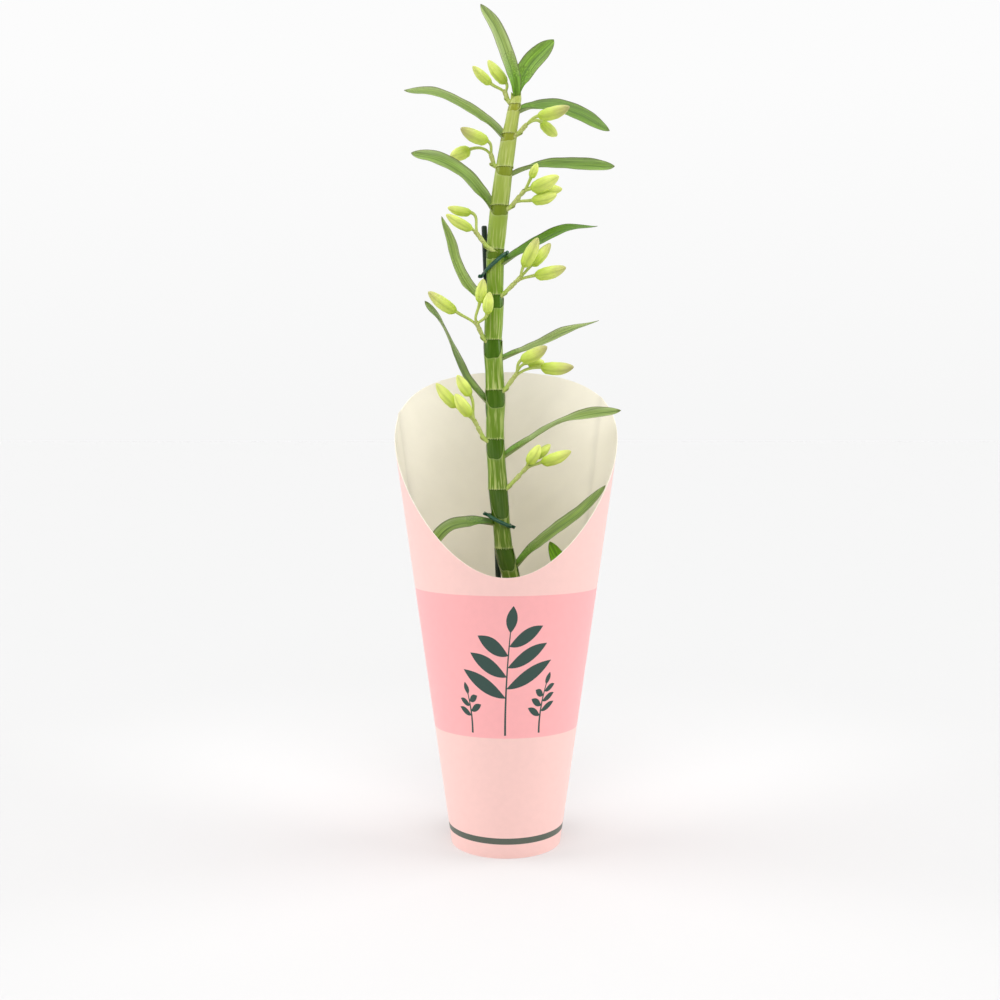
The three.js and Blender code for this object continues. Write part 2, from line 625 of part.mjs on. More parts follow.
for (const [letter, stalk] of Object.entries(FLOWER_STALKS)) {
  addPart(`flower_stalk_${letter}`, makeStalk(stalk), FINISHES.stalk);
  stalk.buds.forEach((bud, number) => {
    addPart(`bud_${letter}${number + 1}`, makeBud(bud), FINISHES.bud);
  });
}

export default plant;
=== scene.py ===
"""Noble dendrobium in bud: one cane tied to a stake, in its grower's pot, inside a printed card sleeve."""
import json
import math

import bmesh
import bpy
import numpy as np
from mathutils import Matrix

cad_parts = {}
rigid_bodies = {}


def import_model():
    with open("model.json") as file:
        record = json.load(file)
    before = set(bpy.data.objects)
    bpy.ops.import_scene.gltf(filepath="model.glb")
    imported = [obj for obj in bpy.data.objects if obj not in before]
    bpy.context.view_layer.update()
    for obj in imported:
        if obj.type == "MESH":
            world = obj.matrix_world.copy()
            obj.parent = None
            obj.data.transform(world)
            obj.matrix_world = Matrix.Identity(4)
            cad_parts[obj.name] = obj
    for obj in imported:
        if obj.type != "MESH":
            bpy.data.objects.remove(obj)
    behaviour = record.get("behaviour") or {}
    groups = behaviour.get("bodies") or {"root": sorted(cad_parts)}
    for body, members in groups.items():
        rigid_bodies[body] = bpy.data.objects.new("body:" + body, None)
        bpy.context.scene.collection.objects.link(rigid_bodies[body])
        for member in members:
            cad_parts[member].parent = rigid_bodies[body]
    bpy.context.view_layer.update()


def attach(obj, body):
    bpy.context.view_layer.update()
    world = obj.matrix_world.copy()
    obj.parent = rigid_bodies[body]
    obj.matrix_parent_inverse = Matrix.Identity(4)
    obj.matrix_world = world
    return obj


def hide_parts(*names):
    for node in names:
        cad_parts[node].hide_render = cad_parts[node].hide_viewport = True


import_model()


# ---- Studio ----
# A pale seamless table, painted lighter round the part as a painted pool of light that softens its
# shadow, under a white sky that is dimmer behind the camera, with broad soft light from both sides,
# above and in front, and the camera a metre in front, looking slightly down.
MM = 0.001

CAMERA_PLACE = (-4.9, -971, 355.7)
CAMERA_PITCH = 0.0763  # radians below the level
CAMERA_FOCAL_SHARE = 1.2  # focal length as a share of the picture's width
SENSOR_WIDTH = 36

TABLE_SIDE = 24_000
TABLE_NEAR_PAINTED_LIGHT = "D3D3D3"  # colour of the table round the part, painted lighter there as a pool of painted light that softens the part's shadow, and far from it
TABLE_FAR = "CBCBCB"
TABLE_FADE = (0.1, 0.7)  # the one passes into the other between these distances, in metres
SKY_TOP = "FCFCFC"
SKY_HORIZON = "F7F7F7"
SKY_BAND = 0.25  # height of the sky's fade above the horizon, as the sine of the elevation
SKY_LIGHT = 0.66
SKY_FRONT = 0.35  # share of that light that comes from behind the camera
SKY_TURN = (-0.9, 0)  # the front passes into the back between these Y parts of a direction
SUNS = (  # name, tilt from overhead and turn in degrees, strength, width of the soft disc in degrees
    ("left_softbox", 60, -92, 1.25, 50),
    ("right_softbox", 60, 92, 1.25, 50),
    ("top_softbox", 18, 180, 0.9, 90),
    ("front_softbox", 40, 0, 1.4, 50),
)


def colour(code):
    """The linear colour of an sRGB code such as FDD7D2."""
    parts = [int(code[start:start + 2], 16) / 255 for start in (0, 2, 4)]
    linear = [part / 12.92 if part <= 0.04045 else ((part + 0.055) / 1.055) ** 2.4 for part in parts]
    return (*linear, 1)


def add(tree, kind, inputs=(), **settings):
    """Adds a node with its settings. Its inputs go in order or by name, and each takes a value, the
    socket that feeds it, or the node whose first output does."""
    made = tree.nodes.new(kind)
    for name, value in settings.items():
        setattr(made, name, value)
    for name, value in inputs.items() if isinstance(inputs, dict) else enumerate(inputs):
        source = value.outputs[0] if isinstance(value, bpy.types.Node) else value
        if isinstance(source, bpy.types.NodeSocket):
            tree.links.new(source, made.inputs[name])
        else:
            made.inputs[name].default_value = source
    return made


def new_material(name, *values):
    """An empty material, its tree, and a socket for each named value that rides on the surface."""
    made = bpy.data.materials.new(name)
    made.use_nodes = True
    tree = made.node_tree
    tree.nodes.clear()
    riding = [add(tree, "ShaderNodeAttribute", attribute_name=value).outputs["Fac"] for value in values]
    return made, tree, riding


def close_material(tree, look, relief=None, glow=None):
    """Ends a material in a surface of the given look. Relief is what raises it, how strongly, and by
    how many mm; glow is the colour and the share of the light that comes through from behind."""
    if relief:
        height, strength, depth = relief
        raised = {"Strength": strength, "Distance": depth * MM, "Height": height}
        look["Normal"] = add(tree, "ShaderNodeBump", raised)
    surface = add(tree, "ShaderNodeBsdfPrincipled", look)
    if glow:
        tint, share = glow
        passed = add(tree, "ShaderNodeBsdfTranslucent", {"Color": tint})
        surface = add(tree, "ShaderNodeMixShader", (share, surface, passed))
    add(tree, "ShaderNodeOutputMaterial", (surface,))


def show(name, data):
    made = bpy.data.objects.new(name, data)
    bpy.context.scene.collection.objects.link(made)
    return made


def make_camera():
    lens = bpy.data.cameras.new("studio_camera")
    lens.sensor_width = SENSOR_WIDTH
    lens.lens = SENSOR_WIDTH * CAMERA_FOCAL_SHARE
    camera = show("studio_camera", lens)
    camera.location = [part * MM for part in CAMERA_PLACE]
    camera.rotation_euler = (math.pi / 2 - CAMERA_PITCH, 0, 0)
    bpy.context.scene.camera = camera


def make_light():
    sky = bpy.data.worlds.new("white_surround")
    sky.use_nodes = True
    tree = sky.node_tree
    tree.nodes.clear()
    way = add(tree, "ShaderNodeTexCoord").outputs["Generated"]
    parts = add(tree, "ShaderNodeSeparateXYZ", (way,)).outputs
    share = add(tree, "ShaderNodeMapRange", (parts["Z"], 0.0, SKY_BAND, 0.0, 1.0))
    fade = add(tree, "ShaderNodeMixRGB", (share, colour(SKY_HORIZON), colour(SKY_TOP)))
    seen = add(tree, "ShaderNodeBackground", {"Color": fade, "Strength": 1})
    front, back = SKY_LIGHT * SKY_FRONT, SKY_LIGHT
    power = add(tree, "ShaderNodeMapRange", (parts["Y"], *SKY_TURN, front, back))
    giving = add(tree, "ShaderNodeBackground", {"Color": colour(SKY_TOP), "Strength": power})
    ray = add(tree, "ShaderNodeLightPath").outputs["Is Camera Ray"]
    both = add(tree, "ShaderNodeMixShader", (ray, giving, seen))
    add(tree, "ShaderNodeOutputWorld", {"Surface": both})
    bpy.context.scene.world = sky
    for name, tilt, turn, strength, width in SUNS:
        lamp = bpy.data.lights.new(name, "SUN")
        lamp.energy = strength
        lamp.angle = math.radians(width)
        show(name, lamp).rotation_euler = (math.radians(tilt), 0, math.radians(turn))


def make_table():
    half = TABLE_SIDE / 2 * MM
    corners = [(-half, -half, 0), (half, -half, 0), (half, half, 0), (-half, half, 0)]
    mesh = bpy.data.meshes.new("table")
    mesh.from_pydata(corners, [], [(0, 1, 2, 3)])
    painted, tree, _ = new_material("matt_white_laminate_with_painted_light")
    spot = add(tree, "ShaderNodeTexCoord").outputs["Object"]
    away = add(tree, "ShaderNodeVectorMath", (spot,), operation="LENGTH").outputs["Value"]
    near, far = TABLE_FADE
    share = add(tree, "ShaderNodeMapRange", (away, near, far), interpolation_type="SMOOTHSTEP")
    # Painted light: round the part the table is painted lighter, a pool of light that softens its shadow.
    tone = add(tree, "ShaderNodeMixRGB", (share, colour(TABLE_NEAR_PAINTED_LIGHT), colour(TABLE_FAR)))
    close_material(tree, {"Base Color": tone, "Roughness": 0.9, "Specular IOR Level": 0})
    mesh.materials.append(painted)
    show("table", mesh)


bpy.context.scene.view_settings.view_transform = "Standard"
make_camera()
make_light()
make_table()


# ---- Card sleeve ----
# One sheet of folding boxboard, printed and varnished outside, bare cream board inside. It is die
# cut, creased where it was packed flat, rolled to a cone and glued in a lap down the back.
SLEEVE_BASE_RADIUS = 45  # outside, on the table
SLEEVE_FLARE = 0.1373  # growth of the radius per mm of height
CARD_THICKNESS = 0.6
RIM_MEAN_HEIGHT = 318.2  # the slanting cut of the top edge
RIM_SLANT = 79.6
RIM_DISH = 10.2
LAP_WIDTH = 12
LAP_LIFT = 0.65  # the lap lies this far outside the layer under it
LAP_EASE = 9  # length over which the card rises to the lap
CREASES = (math.radians(122), math.radians(-108.5))
CREASE_DEPTH = 1.1
CREASE_WIDTH = 4
CREASE_PAINTED_SHADE = 0.1  # painted shade: the bare board is painted darker along a crease by this share, for the shade in the fold
SLEEVE_STEPS_ROUND = 300
SLEEVE_STEPS_UP = 26

PANEL_LOW = 100.7
PANEL_HIGH = 214.4
PANEL_SAG = 3.2  # the panel's edges lie this much lower at the sides than at the front
FOOT_LINE_LOW = 11.9
FOOT_LINE_HIGH = 17.1
PANEL_BOTH_EDGES = ((PANEL_LOW + PANEL_HIGH) / 2, (PANEL_HIGH - PANEL_LOW) / 2)
FOOT_LINE_BOTH_EDGES = ((FOOT_LINE_LOW + FOOT_LINE_HIGH) / 2, (FOOT_LINE_HIGH - FOOT_LINE_LOW) / 2)
CARD_PINK = "FBCFC8"
PANEL_PINK = "FFB4B5"
INK_GREEN = "28473F"
LINE_GREY = "545E52"  # the line round the foot is a paler print
BOARD_CREAM = "FBF4E6"
BOARD_CORE = "F3ECDC"

# Leaf sprigs printed across the panel: foot (round, up), height, reach of the longest leaves,
# distance between leaf pairs and lean, all in mm but the last.
SPRIGS = (
    ((-1, 103), 85, 45, 17, 0.0006),
    ((-27, 104), 32, 13, 8, -0.004),
    ((26, 104), 40, 14, 8, 0.004),
)
LEAF_SLOPE = 0.62  # rise of a printed leaf per mm outwards
LEAF_FATNESS = 0.36  # half width of a printed leaf, as a share of the distance between pairs
LEAF_SHIFT = 0.22  # between the leaves of a pair, as half of the share of that distance
FIRST_PAIR = 1.5  # the stalk is bare below this many distances between pairs
SPRIG_STALK = (0.8, 0.4)  # half width of a printed stalk at its foot and at its head
TOP_REACH = 0.45  # reach of the topmost pair, against the longest
TOP_LEAF_SINK = 0.15  # the leaf on the end starts this far below it, against the pitch
TOP_LEAF_LENGTH = 1.25  # its length against the pitch
TOP_LEAF_FATNESS = 0.7  # and its fatness against the others'


def sleeve_radius(z):
    return SLEEVE_BASE_RADIUS + SLEEVE_FLARE * z


def rim_height(angle):
    """Height of the cut edge; angle 0 is the front, and it grows towards +X."""
    return RIM_MEAN_HEIGHT - RIM_SLANT * np.cos(angle) - RIM_DISH * np.cos(2 * angle)


def skin(rings, looped=False):
    """Points and faces over rings of equal length. A fan round a pole closes each end, unless the last
    ring meets the first again. Columns past x, y and z are values that ride on the surface."""
    rows, sides, width = rings.shape
    points, faces = rings.reshape(-1, width), []
    for row in range(rows if looped else rows - 1):
        low, high = row * sides, (row + 1) % rows * sides
        for side in range(sides):
            after = (side + 1) % sides
            faces.append((low + side, low + after, high + after, high + side))
    if looped:
        return points, faces
    first_pole, last_row = rows * sides, (rows - 1) * sides
    for side in range(sides):
        after = (side + 1) % sides
        faces.append((first_pole, after, side))
        faces.append((first_pole + 1, last_row + side, last_row + after))
    return np.vstack([points, rings[0].mean(0), rings[-1].mean(0)]), faces


def new_piece(name, shells, materials, values=(), sharp=40, material_of=None):
    """One object made of closed shells given in mm; values names the columns past x, y and z."""
    points, faces = [], []
    for shell_points, shell_faces in shells:
        start = sum(len(part) for part in points)
        points.append(shell_points)
        faces.extend([tuple(start + corner for corner in face) for face in shell_faces])
    points = np.vstack(points)
    mesh = bpy.data.meshes.new(name)
    mesh.from_pydata((points[:, :3] * MM).tolist(), [], faces)
    for column, value in enumerate(values):
        layer = mesh.attributes.new(value, "FLOAT", "POINT")
        layer.data.foreach_set("value", points[:, 3 + column].astype(np.float32))
    for material in materials:
        mesh.materials.append(material)
    if material_of is not None:
        mesh.polygons.foreach_set("material_index", material_of(points, faces))
    work = bmesh.new()
    work.from_mesh(mesh)
    bmesh.ops.recalc_face_normals(work, faces=work.faces)
    work.to_mesh(mesh)
    work.free()
    mesh.polygons.foreach_set("use_smooth", [True] * len(mesh.polygons))
    mesh.set_sharp_from_angle(angle=math.radians(sharp))
    return show(name, mesh)


def place(piece, slot, *nodes):
    """The piece stands for the CAD nodes, which are hidden, and hangs from the root body; slot is not used.
    """
    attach(piece, "root")
    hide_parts(*nodes)


def mottled(tree, tint, noise, low, high):
    """The tint made darker and lighter by a noise, from the low share of it to the high one."""
    tone = add(tree, "ShaderNodeMapRange", (noise, 0.3, 0.7, low, high))
    return add(tree, "ShaderNodeVectorMath", {0: tint, 3: tone}, operation="SCALE")


def make_sprig_group():
    """Mask of a leafy sprig: pairs of lens-shaped leaves folded out from a stalk that leans."""
    tree = bpy.data.node_groups.new("printed_sprig", "ShaderNodeTree")
    for label in ("Place", "Foot", "Height", "Reach", "Pitch", "Lean"):
        kind = "Vector" if label in ("Place", "Foot") else "Float"
        tree.interface.new_socket(label, in_out="INPUT", socket_type="NodeSocket" + kind)
    tree.interface.new_socket("Mask", in_out="OUTPUT", socket_type="NodeSocketFloat")
    given = add(tree, "NodeGroupInput").outputs
    away = add(tree, "ShaderNodeVectorMath", (given["Place"], given["Foot"]), operation="SUBTRACT")
    parts = add(tree, "ShaderNodeSeparateXYZ", (away,)).outputs
    known = {"round": parts["X"], "up": parts["Y"]}
    for label in ("Height", "Reach", "Pitch", "Lean"):
        known[label] = given[label]
    # Each row works one thing out: its name, the sum (none for a change of range), and its inputs.
    for result, operation, *inputs in (
        ("up_squared", "MULTIPLY", "up", "up"),
        ("bend", "MULTIPLY", "up_squared", "Lean"),
        ("across", "SUBTRACT", "round", "bend"),
        ("out", "ABSOLUTE", "across"),
        ("rise", "MULTIPLY", "out", LEAF_SLOPE),
        ("level", "SUBTRACT", "up", "rise"),
        # Leaves stand in turn: the right ones a little higher than the left ones.
        ("side", "SIGN", "across"),
        ("shift", "MULTIPLY", "Pitch", -LEAF_SHIFT),
        ("level", "MULTIPLY_ADD", "side", "shift", "level"),
        ("share", "DIVIDE", "level", "Height"),
        ("taper", None, "share", 0.0, 1.0, 1.0, TOP_REACH),
        ("reach", "MULTIPLY", "taper", "Reach"),
        ("along", "DIVIDE", "out", "reach"),
        ("rest", "SUBTRACT", 1.0, "along"),
        ("lens", "MULTIPLY", "along", "rest"),
        ("fat", "MULTIPLY", "Pitch", 4 * LEAF_FATNESS),
        ("half", "MULTIPLY", "lens", "fat"),
        ("half_pitch", "MULTIPLY", "Pitch", 0.5),
        ("beside", "PINGPONG", "level", "half_pitch"),
        ("in_leaf", "LESS_THAN", "beside", "half"),
        ("pairs", "DIVIDE", "level", "Pitch"),
        ("above", "GREATER_THAN", "pairs", FIRST_PAIR),
        ("last", "SUBTRACT", "Height", "half_pitch"),
        ("below", "LESS_THAN", "level", "last"),
        ("leaves", "MULTIPLY", "in_leaf", "above"),
        ("leaves", "MULTIPLY", "leaves", "below"),
        ("up_share", "DIVIDE", "up", "Height"),
        ("thick", None, "up_share", 0.0, 1.0, *SPRIG_STALK),
        ("in_stalk", "LESS_THAN", "out", "thick"),
        ("in_height", "COMPARE", "up_share", 0.5, 0.5),
        ("stalk", "MULTIPLY", "in_stalk", "in_height"),
        ("mask", "MAXIMUM", "leaves", "stalk"),
        # One more leaf stands upright on the end of the stalk.
        ("over", "SUBTRACT", "up", "Height"),
        ("part", "DIVIDE", "over", "Pitch"),
        ("part", "ADD", "part", TOP_LEAF_SINK),
        ("part", "DIVIDE", "part", TOP_LEAF_LENGTH),
        ("rest", "SUBTRACT", 1.0, "part"),
        ("lens", "MULTIPLY", "part", "rest"),
        ("half", "MULTIPLY", "lens", "fat"),
        ("half", "MULTIPLY", "half", TOP_LEAF_FATNESS),
        ("top_leaf", "LESS_THAN", "out", "half"),
        ("mask", "MAXIMUM", "mask", "top_leaf"),
    ):
        kind = "ShaderNodeMath" if operation else "ShaderNodeMapRange"
        settings = {"operation": operation} if operation else {}
        known[result] = add(tree, kind, [known.get(value, value) for value in inputs], **settings)
    add(tree, "NodeGroupOutput", (known["mask"],))
    return tree


def make_printed_board():
    """Coated boxboard, offset printed under a satin varnish: even colour, a soft low sheen."""
    values = ("around", "height", "panel_level")
    made, tree, (around, height, level) = new_material("boxboard_satin_varnish", *values)
    spot = add(tree, "ShaderNodeCombineXYZ", (around, height))
    middle, half = PANEL_BOTH_EDGES
    panel = add(tree, "ShaderNodeMath", (level, middle, half), operation="COMPARE")
    middle, half = FOOT_LINE_BOTH_EDGES
    line = add(tree, "ShaderNodeMath", (height, middle, half), operation="COMPARE")
    ink = 0
    group = make_sprig_group()
    for (foot_round, foot_up), tall, reach, pitch, lean in SPRIGS:
        foot = (foot_round, foot_up, 0)
        sprig = add(tree, "ShaderNodeGroup", (spot, foot, tall, reach, pitch, lean), node_tree=group)
        ink = add(tree, "ShaderNodeMath", (ink, sprig), operation="MAXIMUM")
    # Mottle of the ink film, 6 mm across, and the board's fibre under it, 0.5 mm across.
    mottle = add(tree, "ShaderNodeTexNoise", {"Vector": spot, "Scale": 1 / 6, "Detail": 2})
    ground = add(tree, "ShaderNodeMixRGB", (panel, colour(CARD_PINK), colour(PANEL_PINK)))
    lined = add(tree, "ShaderNodeMixRGB", (line, ground, colour(LINE_GREY)))
    inked = add(tree, "ShaderNodeMixRGB", (ink, lined, colour(INK_GREEN)))
    printed = mottled(tree, inked, mottle, 0.975, 1.0)
    fibre = add(tree, "ShaderNodeTexNoise", {"Vector": spot, "Scale": 2, "Detail": 3})
    gloss = add(tree, "ShaderNodeMapRange", (fibre, 0.3, 0.7, 0.34, 0.44))
    close_material(tree, {"Base Color": printed, "Roughness": gloss, "IOR": 1.5}, (fibre, 0.12, 0.05))
    return made


def make_bare_board(name, code, fleck):
    """Uncoated board: matt, faintly clouded, with fine darker fibres about 0.4 mm across, and painted shade
    along the creases.
    """
    made, tree, (around, height, fold) = new_material(name, "around", "height", "fold")
    spot = add(tree, "ShaderNodeCombineXYZ", (around, height))
    cloud = add(tree, "ShaderNodeTexNoise", {"Vector": spot, "Scale": 1 / 25, "Detail": 3})
    fibre = add(tree, "ShaderNodeTexNoise", {"Vector": spot, "Scale": 2.5, "Detail": 4})
    both = add(tree, "ShaderNodeMath", (cloud, fibre), operation="ADD")
    tone = add(tree, "ShaderNodeMapRange", (both, 0.8, 1.2, 1 - fleck, 1.0))
    # Painted shade: the board is painted darker along each crease, where the fold lies in shade.
    tone = add(tree, "ShaderNodeMath", (fold, -CREASE_PAINTED_SHADE, tone), operation="MULTIPLY_ADD")
    tinted = add(tree, "ShaderNodeVectorMath", {0: colour(code)[:3], 3: tone}, operation="SCALE")
    close_material(tree, {"Base Color": tinted, "Roughness": 0.85, "IOR": 1.45}, (fibre, 0.25, 0.05))
    return made


def make_sleeve():
    lap_angle = LAP_WIDTH / sleeve_radius(RIM_MEAN_HEIGHT / 2)
    ease_angle = LAP_EASE / sleeve_radius(RIM_MEAN_HEIGHT / 2)
    angles = np.linspace(-math.pi, math.pi + lap_angle, SLEEVE_STEPS_ROUND + 1)
    shares = np.linspace(0, 1, SLEEVE_STEPS_UP + 1)
    rings = []
    for angle in angles:
        lift = LAP_LIFT * np.clip((angle - math.pi + ease_angle) / ease_angle, 0, 1)
        heights = rim_height(angle) * shares
        fold = sum(
            math.exp(-(((angle - crease) * SLEEVE_BASE_RADIUS * 2 / CREASE_WIDTH) ** 2))
            for crease in CREASES
        )
        outer = sleeve_radius(heights) + lift + CREASE_DEPTH * fold
        inner = outer - CARD_THICKNESS
        radii_round = np.concatenate([outer, inner[::-1]])
        heights_round = np.concatenate([heights, heights[::-1]])
        rings.append(np.stack([
            radii_round * math.sin(angle),
            -radii_round * math.cos(angle),
            heights_round,
            angle * sleeve_radius(heights_round),
            heights_round,
            heights_round + PANEL_SAG * (1 - math.cos(angle)),
            np.concatenate([np.zeros(len(heights)), np.ones(len(heights))]),
            np.full(2 * len(heights), fold),
        ], axis=1))

    # Material 0 is outside, 1 inside, and 2 on the cut edges between them.
    def material_of(points, faces):
        inside = points[:, 6]
        kinds = []
        for face in faces:
            share = np.mean([inside[corner] for corner in face])
            kinds.append(0 if share < 0.1 else 1 if share > 0.9 else 2)
        return kinds

    materials = [
        make_printed_board(),
        make_bare_board("boxboard_uncoated_back", BOARD_CREAM, 0.04),
        make_bare_board("boxboard_cut_edge", BOARD_CORE, 0.08),
    ]
    values = ("around", "height", "panel_level", "inside", "fold")
    piece = new_piece("sleeve_card", [skin(np.array(rings))], materials, values, 30, material_of)
    place(piece, "card", "sleeve")


make_sleeve()


# ---- Grower's pot ----
# A 12 cm growing pot, thermoformed in one piece from thin charcoal polypropylene, with a stepped
# rim, shallow flutes that stiffen the wall, and drain holes punched through its floor.
POT_HEIGHT = 105
POT_BASE_RADIUS = 42
POT_WALL = 0.9
POT_LIP_HEIGHT = 11
POT_LIP_STEP = 2.6
POT_CLEARANCE = 0.45  # between the lip and the card
POT_CORNER = 2.5  # radius of the foot's rounded edge
POT_FLUTES = 18
POT_FLUTE_DEPTH = 0.35
POT_FLUTE_FADE = 8  # height over which a flute runs out at both ends
POT_SIDES = 144
POT_LEVELS = 17
POT_MIDDLE = 3  # radius of the innermost ring of the floor
DRAIN_HOLES = 6
DRAIN_RADIUS = 4
DRAIN_CIRCLE = 27
DRAIN_SIDES = 32
PUNCH_PAST = 2  # the punch reaches this far past the floor on both sides
POT_CHARCOAL = "303234"

pot_lip_radius = sleeve_radius(POT_HEIGHT - POT_LIP_HEIGHT) - CARD_THICKNESS - POT_CLEARANCE
pot_wall_top = POT_HEIGHT - POT_LIP_HEIGHT
pot_wall_top_radius = pot_lip_radius - POT_LIP_STEP


def make_moulded_plastic(name, code, roughness, grain):
    """Moulded or drawn plastic: even colour, a faint uneven gloss and a fine grain."""
    made, tree, _ = new_material(name)
    spot = add(tree, "ShaderNodeTexCoord").outputs["Object"]
    grit = add(tree, "ShaderNodeTexNoise", {"Vector": spot, "Scale": 1 / (grain * MM), "Detail": 3})
    cloud = add(tree, "ShaderNodeTexNoise", {"Vector": spot, "Scale": 40, "Detail": 2})
    tinted = mottled(tree, colour(code)[:3], cloud, 0.85, 1.15)
    gloss = add(tree, "ShaderNodeMapRange", (grit, 0.3, 0.7, roughness - 0.06, roughness + 0.06))
    close_material(tree, {"Base Color": tinted, "Roughness": gloss, "IOR": 1.49}, (grit, 0.2, 0.1))
    return made


def turned(profile, sides, shift=None):
    """A closed turned body from (radius, height) pairs that run from pole to pole."""
    angles = np.arange(sides) / sides * 2 * math.pi
    rings = []
    for radius, z in profile:
        radii = radius + (shift(angles, z) if shift else 0)
        rings.append(np.stack([radii * np.cos(angles), radii * np.sin(angles), np.full(sides, z)], axis=1))
    return skin(np.array(rings))


def pot_flute(angles, z):
    above, below = (z - POT_CORNER) / POT_FLUTE_FADE, (pot_wall_top - z) / POT_FLUTE_FADE
    on_wall = np.clip(above, 0, 1) * np.clip(below, 0, 1)
    return -POT_FLUTE_DEPTH * on_wall * (0.5 - 0.5 * np.cos(POT_FLUTES * angles)) ** 3


def make_pot():
    levels = np.linspace(0, 1, POT_LEVELS)
    corner = [
        (POT_BASE_RADIUS - POT_CORNER * (1 - math.sin(turn)), POT_CORNER * (1 - math.cos(turn)))
        for turn in np.linspace(0, math.pi / 2, 5)
    ]
    rise = pot_wall_top_radius - POT_BASE_RADIUS
    outer = [(POT_BASE_RADIUS + rise * s, POT_CORNER + (pot_wall_top - POT_CORNER) * s) for s in levels[1:]]
    # Out over the step, up, over the top and down inside, each corner eased by some tenths of a mm.
    lip = [
        (pot_lip_radius - 0.4, pot_wall_top),
        (pot_lip_radius, pot_wall_top + 0.4),
        (pot_lip_radius + POT_WALL - 0.2, POT_HEIGHT - 0.3),
        (pot_lip_radius + POT_WALL - 0.45, POT_HEIGHT),
        (pot_lip_radius + 0.2, POT_HEIGHT),
        (pot_lip_radius, POT_HEIGHT - 0.3),
        (pot_lip_radius - POT_WALL, pot_wall_top + POT_WALL),
        (pot_wall_top_radius - POT_WALL + 0.3, pot_wall_top + POT_WALL),
    ]
    inner = [(radius - POT_WALL, max(z, POT_WALL)) for radius, z in reversed(outer)]
    floor = [(POT_BASE_RADIUS - POT_WALL - 1, POT_WALL), (POT_MIDDLE, POT_WALL)]
    profile = [(POT_MIDDLE, 0)] + corner + outer + lip + inner + floor
    plastic = make_moulded_plastic("polypropylene_thermoformed", POT_CHARCOAL, 0.42, 0.6)
    pot = new_piece("pot_moulded", [turned(profile, POT_SIDES, pot_flute)], [plastic], sharp=30)
    drills = []
    for hole in range(DRAIN_HOLES):
        angle = hole / DRAIN_HOLES * 2 * math.pi
        ends = [(DRAIN_RADIUS, -PUNCH_PAST), (DRAIN_RADIUS, POT_WALL + PUNCH_PAST)]
        drill, faces = turned(ends, DRAIN_SIDES)
        drill[:, 0] += DRAIN_CIRCLE * math.cos(angle)
        drill[:, 1] += DRAIN_CIRCLE * math.sin(angle)
        drills.append((drill, faces))
    punch = new_piece("drain_punch", drills, [plastic])
    cut = pot.modifiers.new("drain_holes", "BOOLEAN")
    cut.operation = "DIFFERENCE"
    cut.solver = "EXACT"
    cut.object = punch
    graph = bpy.context.evaluated_depsgraph_get()
    mesh = bpy.data.meshes.new_from_object(pot.evaluated_get(graph))
    pot.modifiers.clear()
    pot.data = mesh
    bpy.data.objects.remove(punch)
    mesh.set_sharp_from_angle(angle=math.radians(30))
    place(pot, "pot_plastic", "pot")


make_pot()


# ---- Potting bark ----
# Graded fir bark, rough flat chips 6 to 16 mm long, packed damp round the roots; the top ones lie
# loose and catch the light.
BARK_TOP = 94
BARK_CROWN = 1
BARK_FLOOR = POT_WALL + 0.3
BARK_GAP = 0.5  # between the bark and the pot's wall
BARK_SIDES = 96
BARK_LOOSE = (-0.9, 0.5)  # the bed's top varies in height between these
CHIP_SPACING = 4.6
CHIP_FIELD = 47  # the chips' middles stay within this radius
CHIP_LIFT = 0.8
CHIP_SEED = 4
CHIP_SHAPES = 5
CHIP_SIZE = (5.2, 3.4, 1.5)  # half length, half width, half thickness
CHIP_TILT = 0.42  # in radians, to either side
CHIP_SCALES = ((0.55, 0.55, 0.7), (1.15, 1.2, 1.3))  # of the smallest and the largest, by axis
CHIP_DENSITY = 90_000  # tries per square metre before the spacing thins them
CHIP_SIDES = 8
CHIP_PROFILE = [(math.sin(turn), -math.cos(turn)) for turn in np.linspace(0, math.pi, 6)[1:-1]]
CHIP_SQUARENESS = 0.45  # 0 leaves a chip round, 1 makes it a block
CHIP_ROUGHNESS = 0.16  # its corners stand in or out by this share
CHIP_WARP = 0.35  # and up or down by this much
BARK_DARK = "3B2A20"
BARK_MID = "6E4A33"
BARK_PALE = "A27C58"


def make_bark_material():
    """Fir bark: corky layers from dark brown to tan, matt and rough, in grains about 1.5 mm."""
    made, tree, _ = new_material("fir_bark_chipped")
    spot = add(tree, "ShaderNodeTexCoord").outputs["Object"]
    patch = add(tree, "ShaderNodeTexNoise", {"Vector": spot, "Scale": 110, "Detail": 4})
    grain = add(tree, "ShaderNodeTexNoise", {"Vector": spot, "Scale": 650, "Detail": 5})
    both = add(tree, "ShaderNodeMath", (patch, 0.65, 0.0), operation="MULTIPLY_ADD")
    both = add(tree, "ShaderNodeMath", (grain, 0.35, both), operation="MULTIPLY_ADD")
    ramp = add(tree, "ShaderNodeValToRGB", {"Fac": both})
    ramp.color_ramp.elements[0].position = 0.36
    ramp.color_ramp.elements[0].color = colour(BARK_DARK)
    ramp.color_ramp.elements[1].position = 0.66
    ramp.color_ramp.elements[1].color = colour(BARK_PALE)
    ramp.color_ramp.elements.new(0.5).color = colour(BARK_MID)
    close_material(tree, {"Base Color": ramp, "Roughness": 0.88, "IOR": 1.4}, (grain, 0.7, 0.5))
    return made


def new_tree(name, *sockets):
    """A Geometry Nodes tree with named inputs; gives the tree and its inputs' sockets."""
    tree = bpy.data.node_groups.new(name, "GeometryNodeTree")
    for label, kind, value in (("Source", "Geometry", None), *sockets):
        made = tree.interface.new_socket(label, in_out="INPUT", socket_type="NodeSocket" + kind)
        if value is not None:
            made.default_value = value
    tree.interface.new_socket("Result", in_out="OUTPUT", socket_type="NodeSocketGeometry")
    return tree, add(tree, "NodeGroupInput").outputs


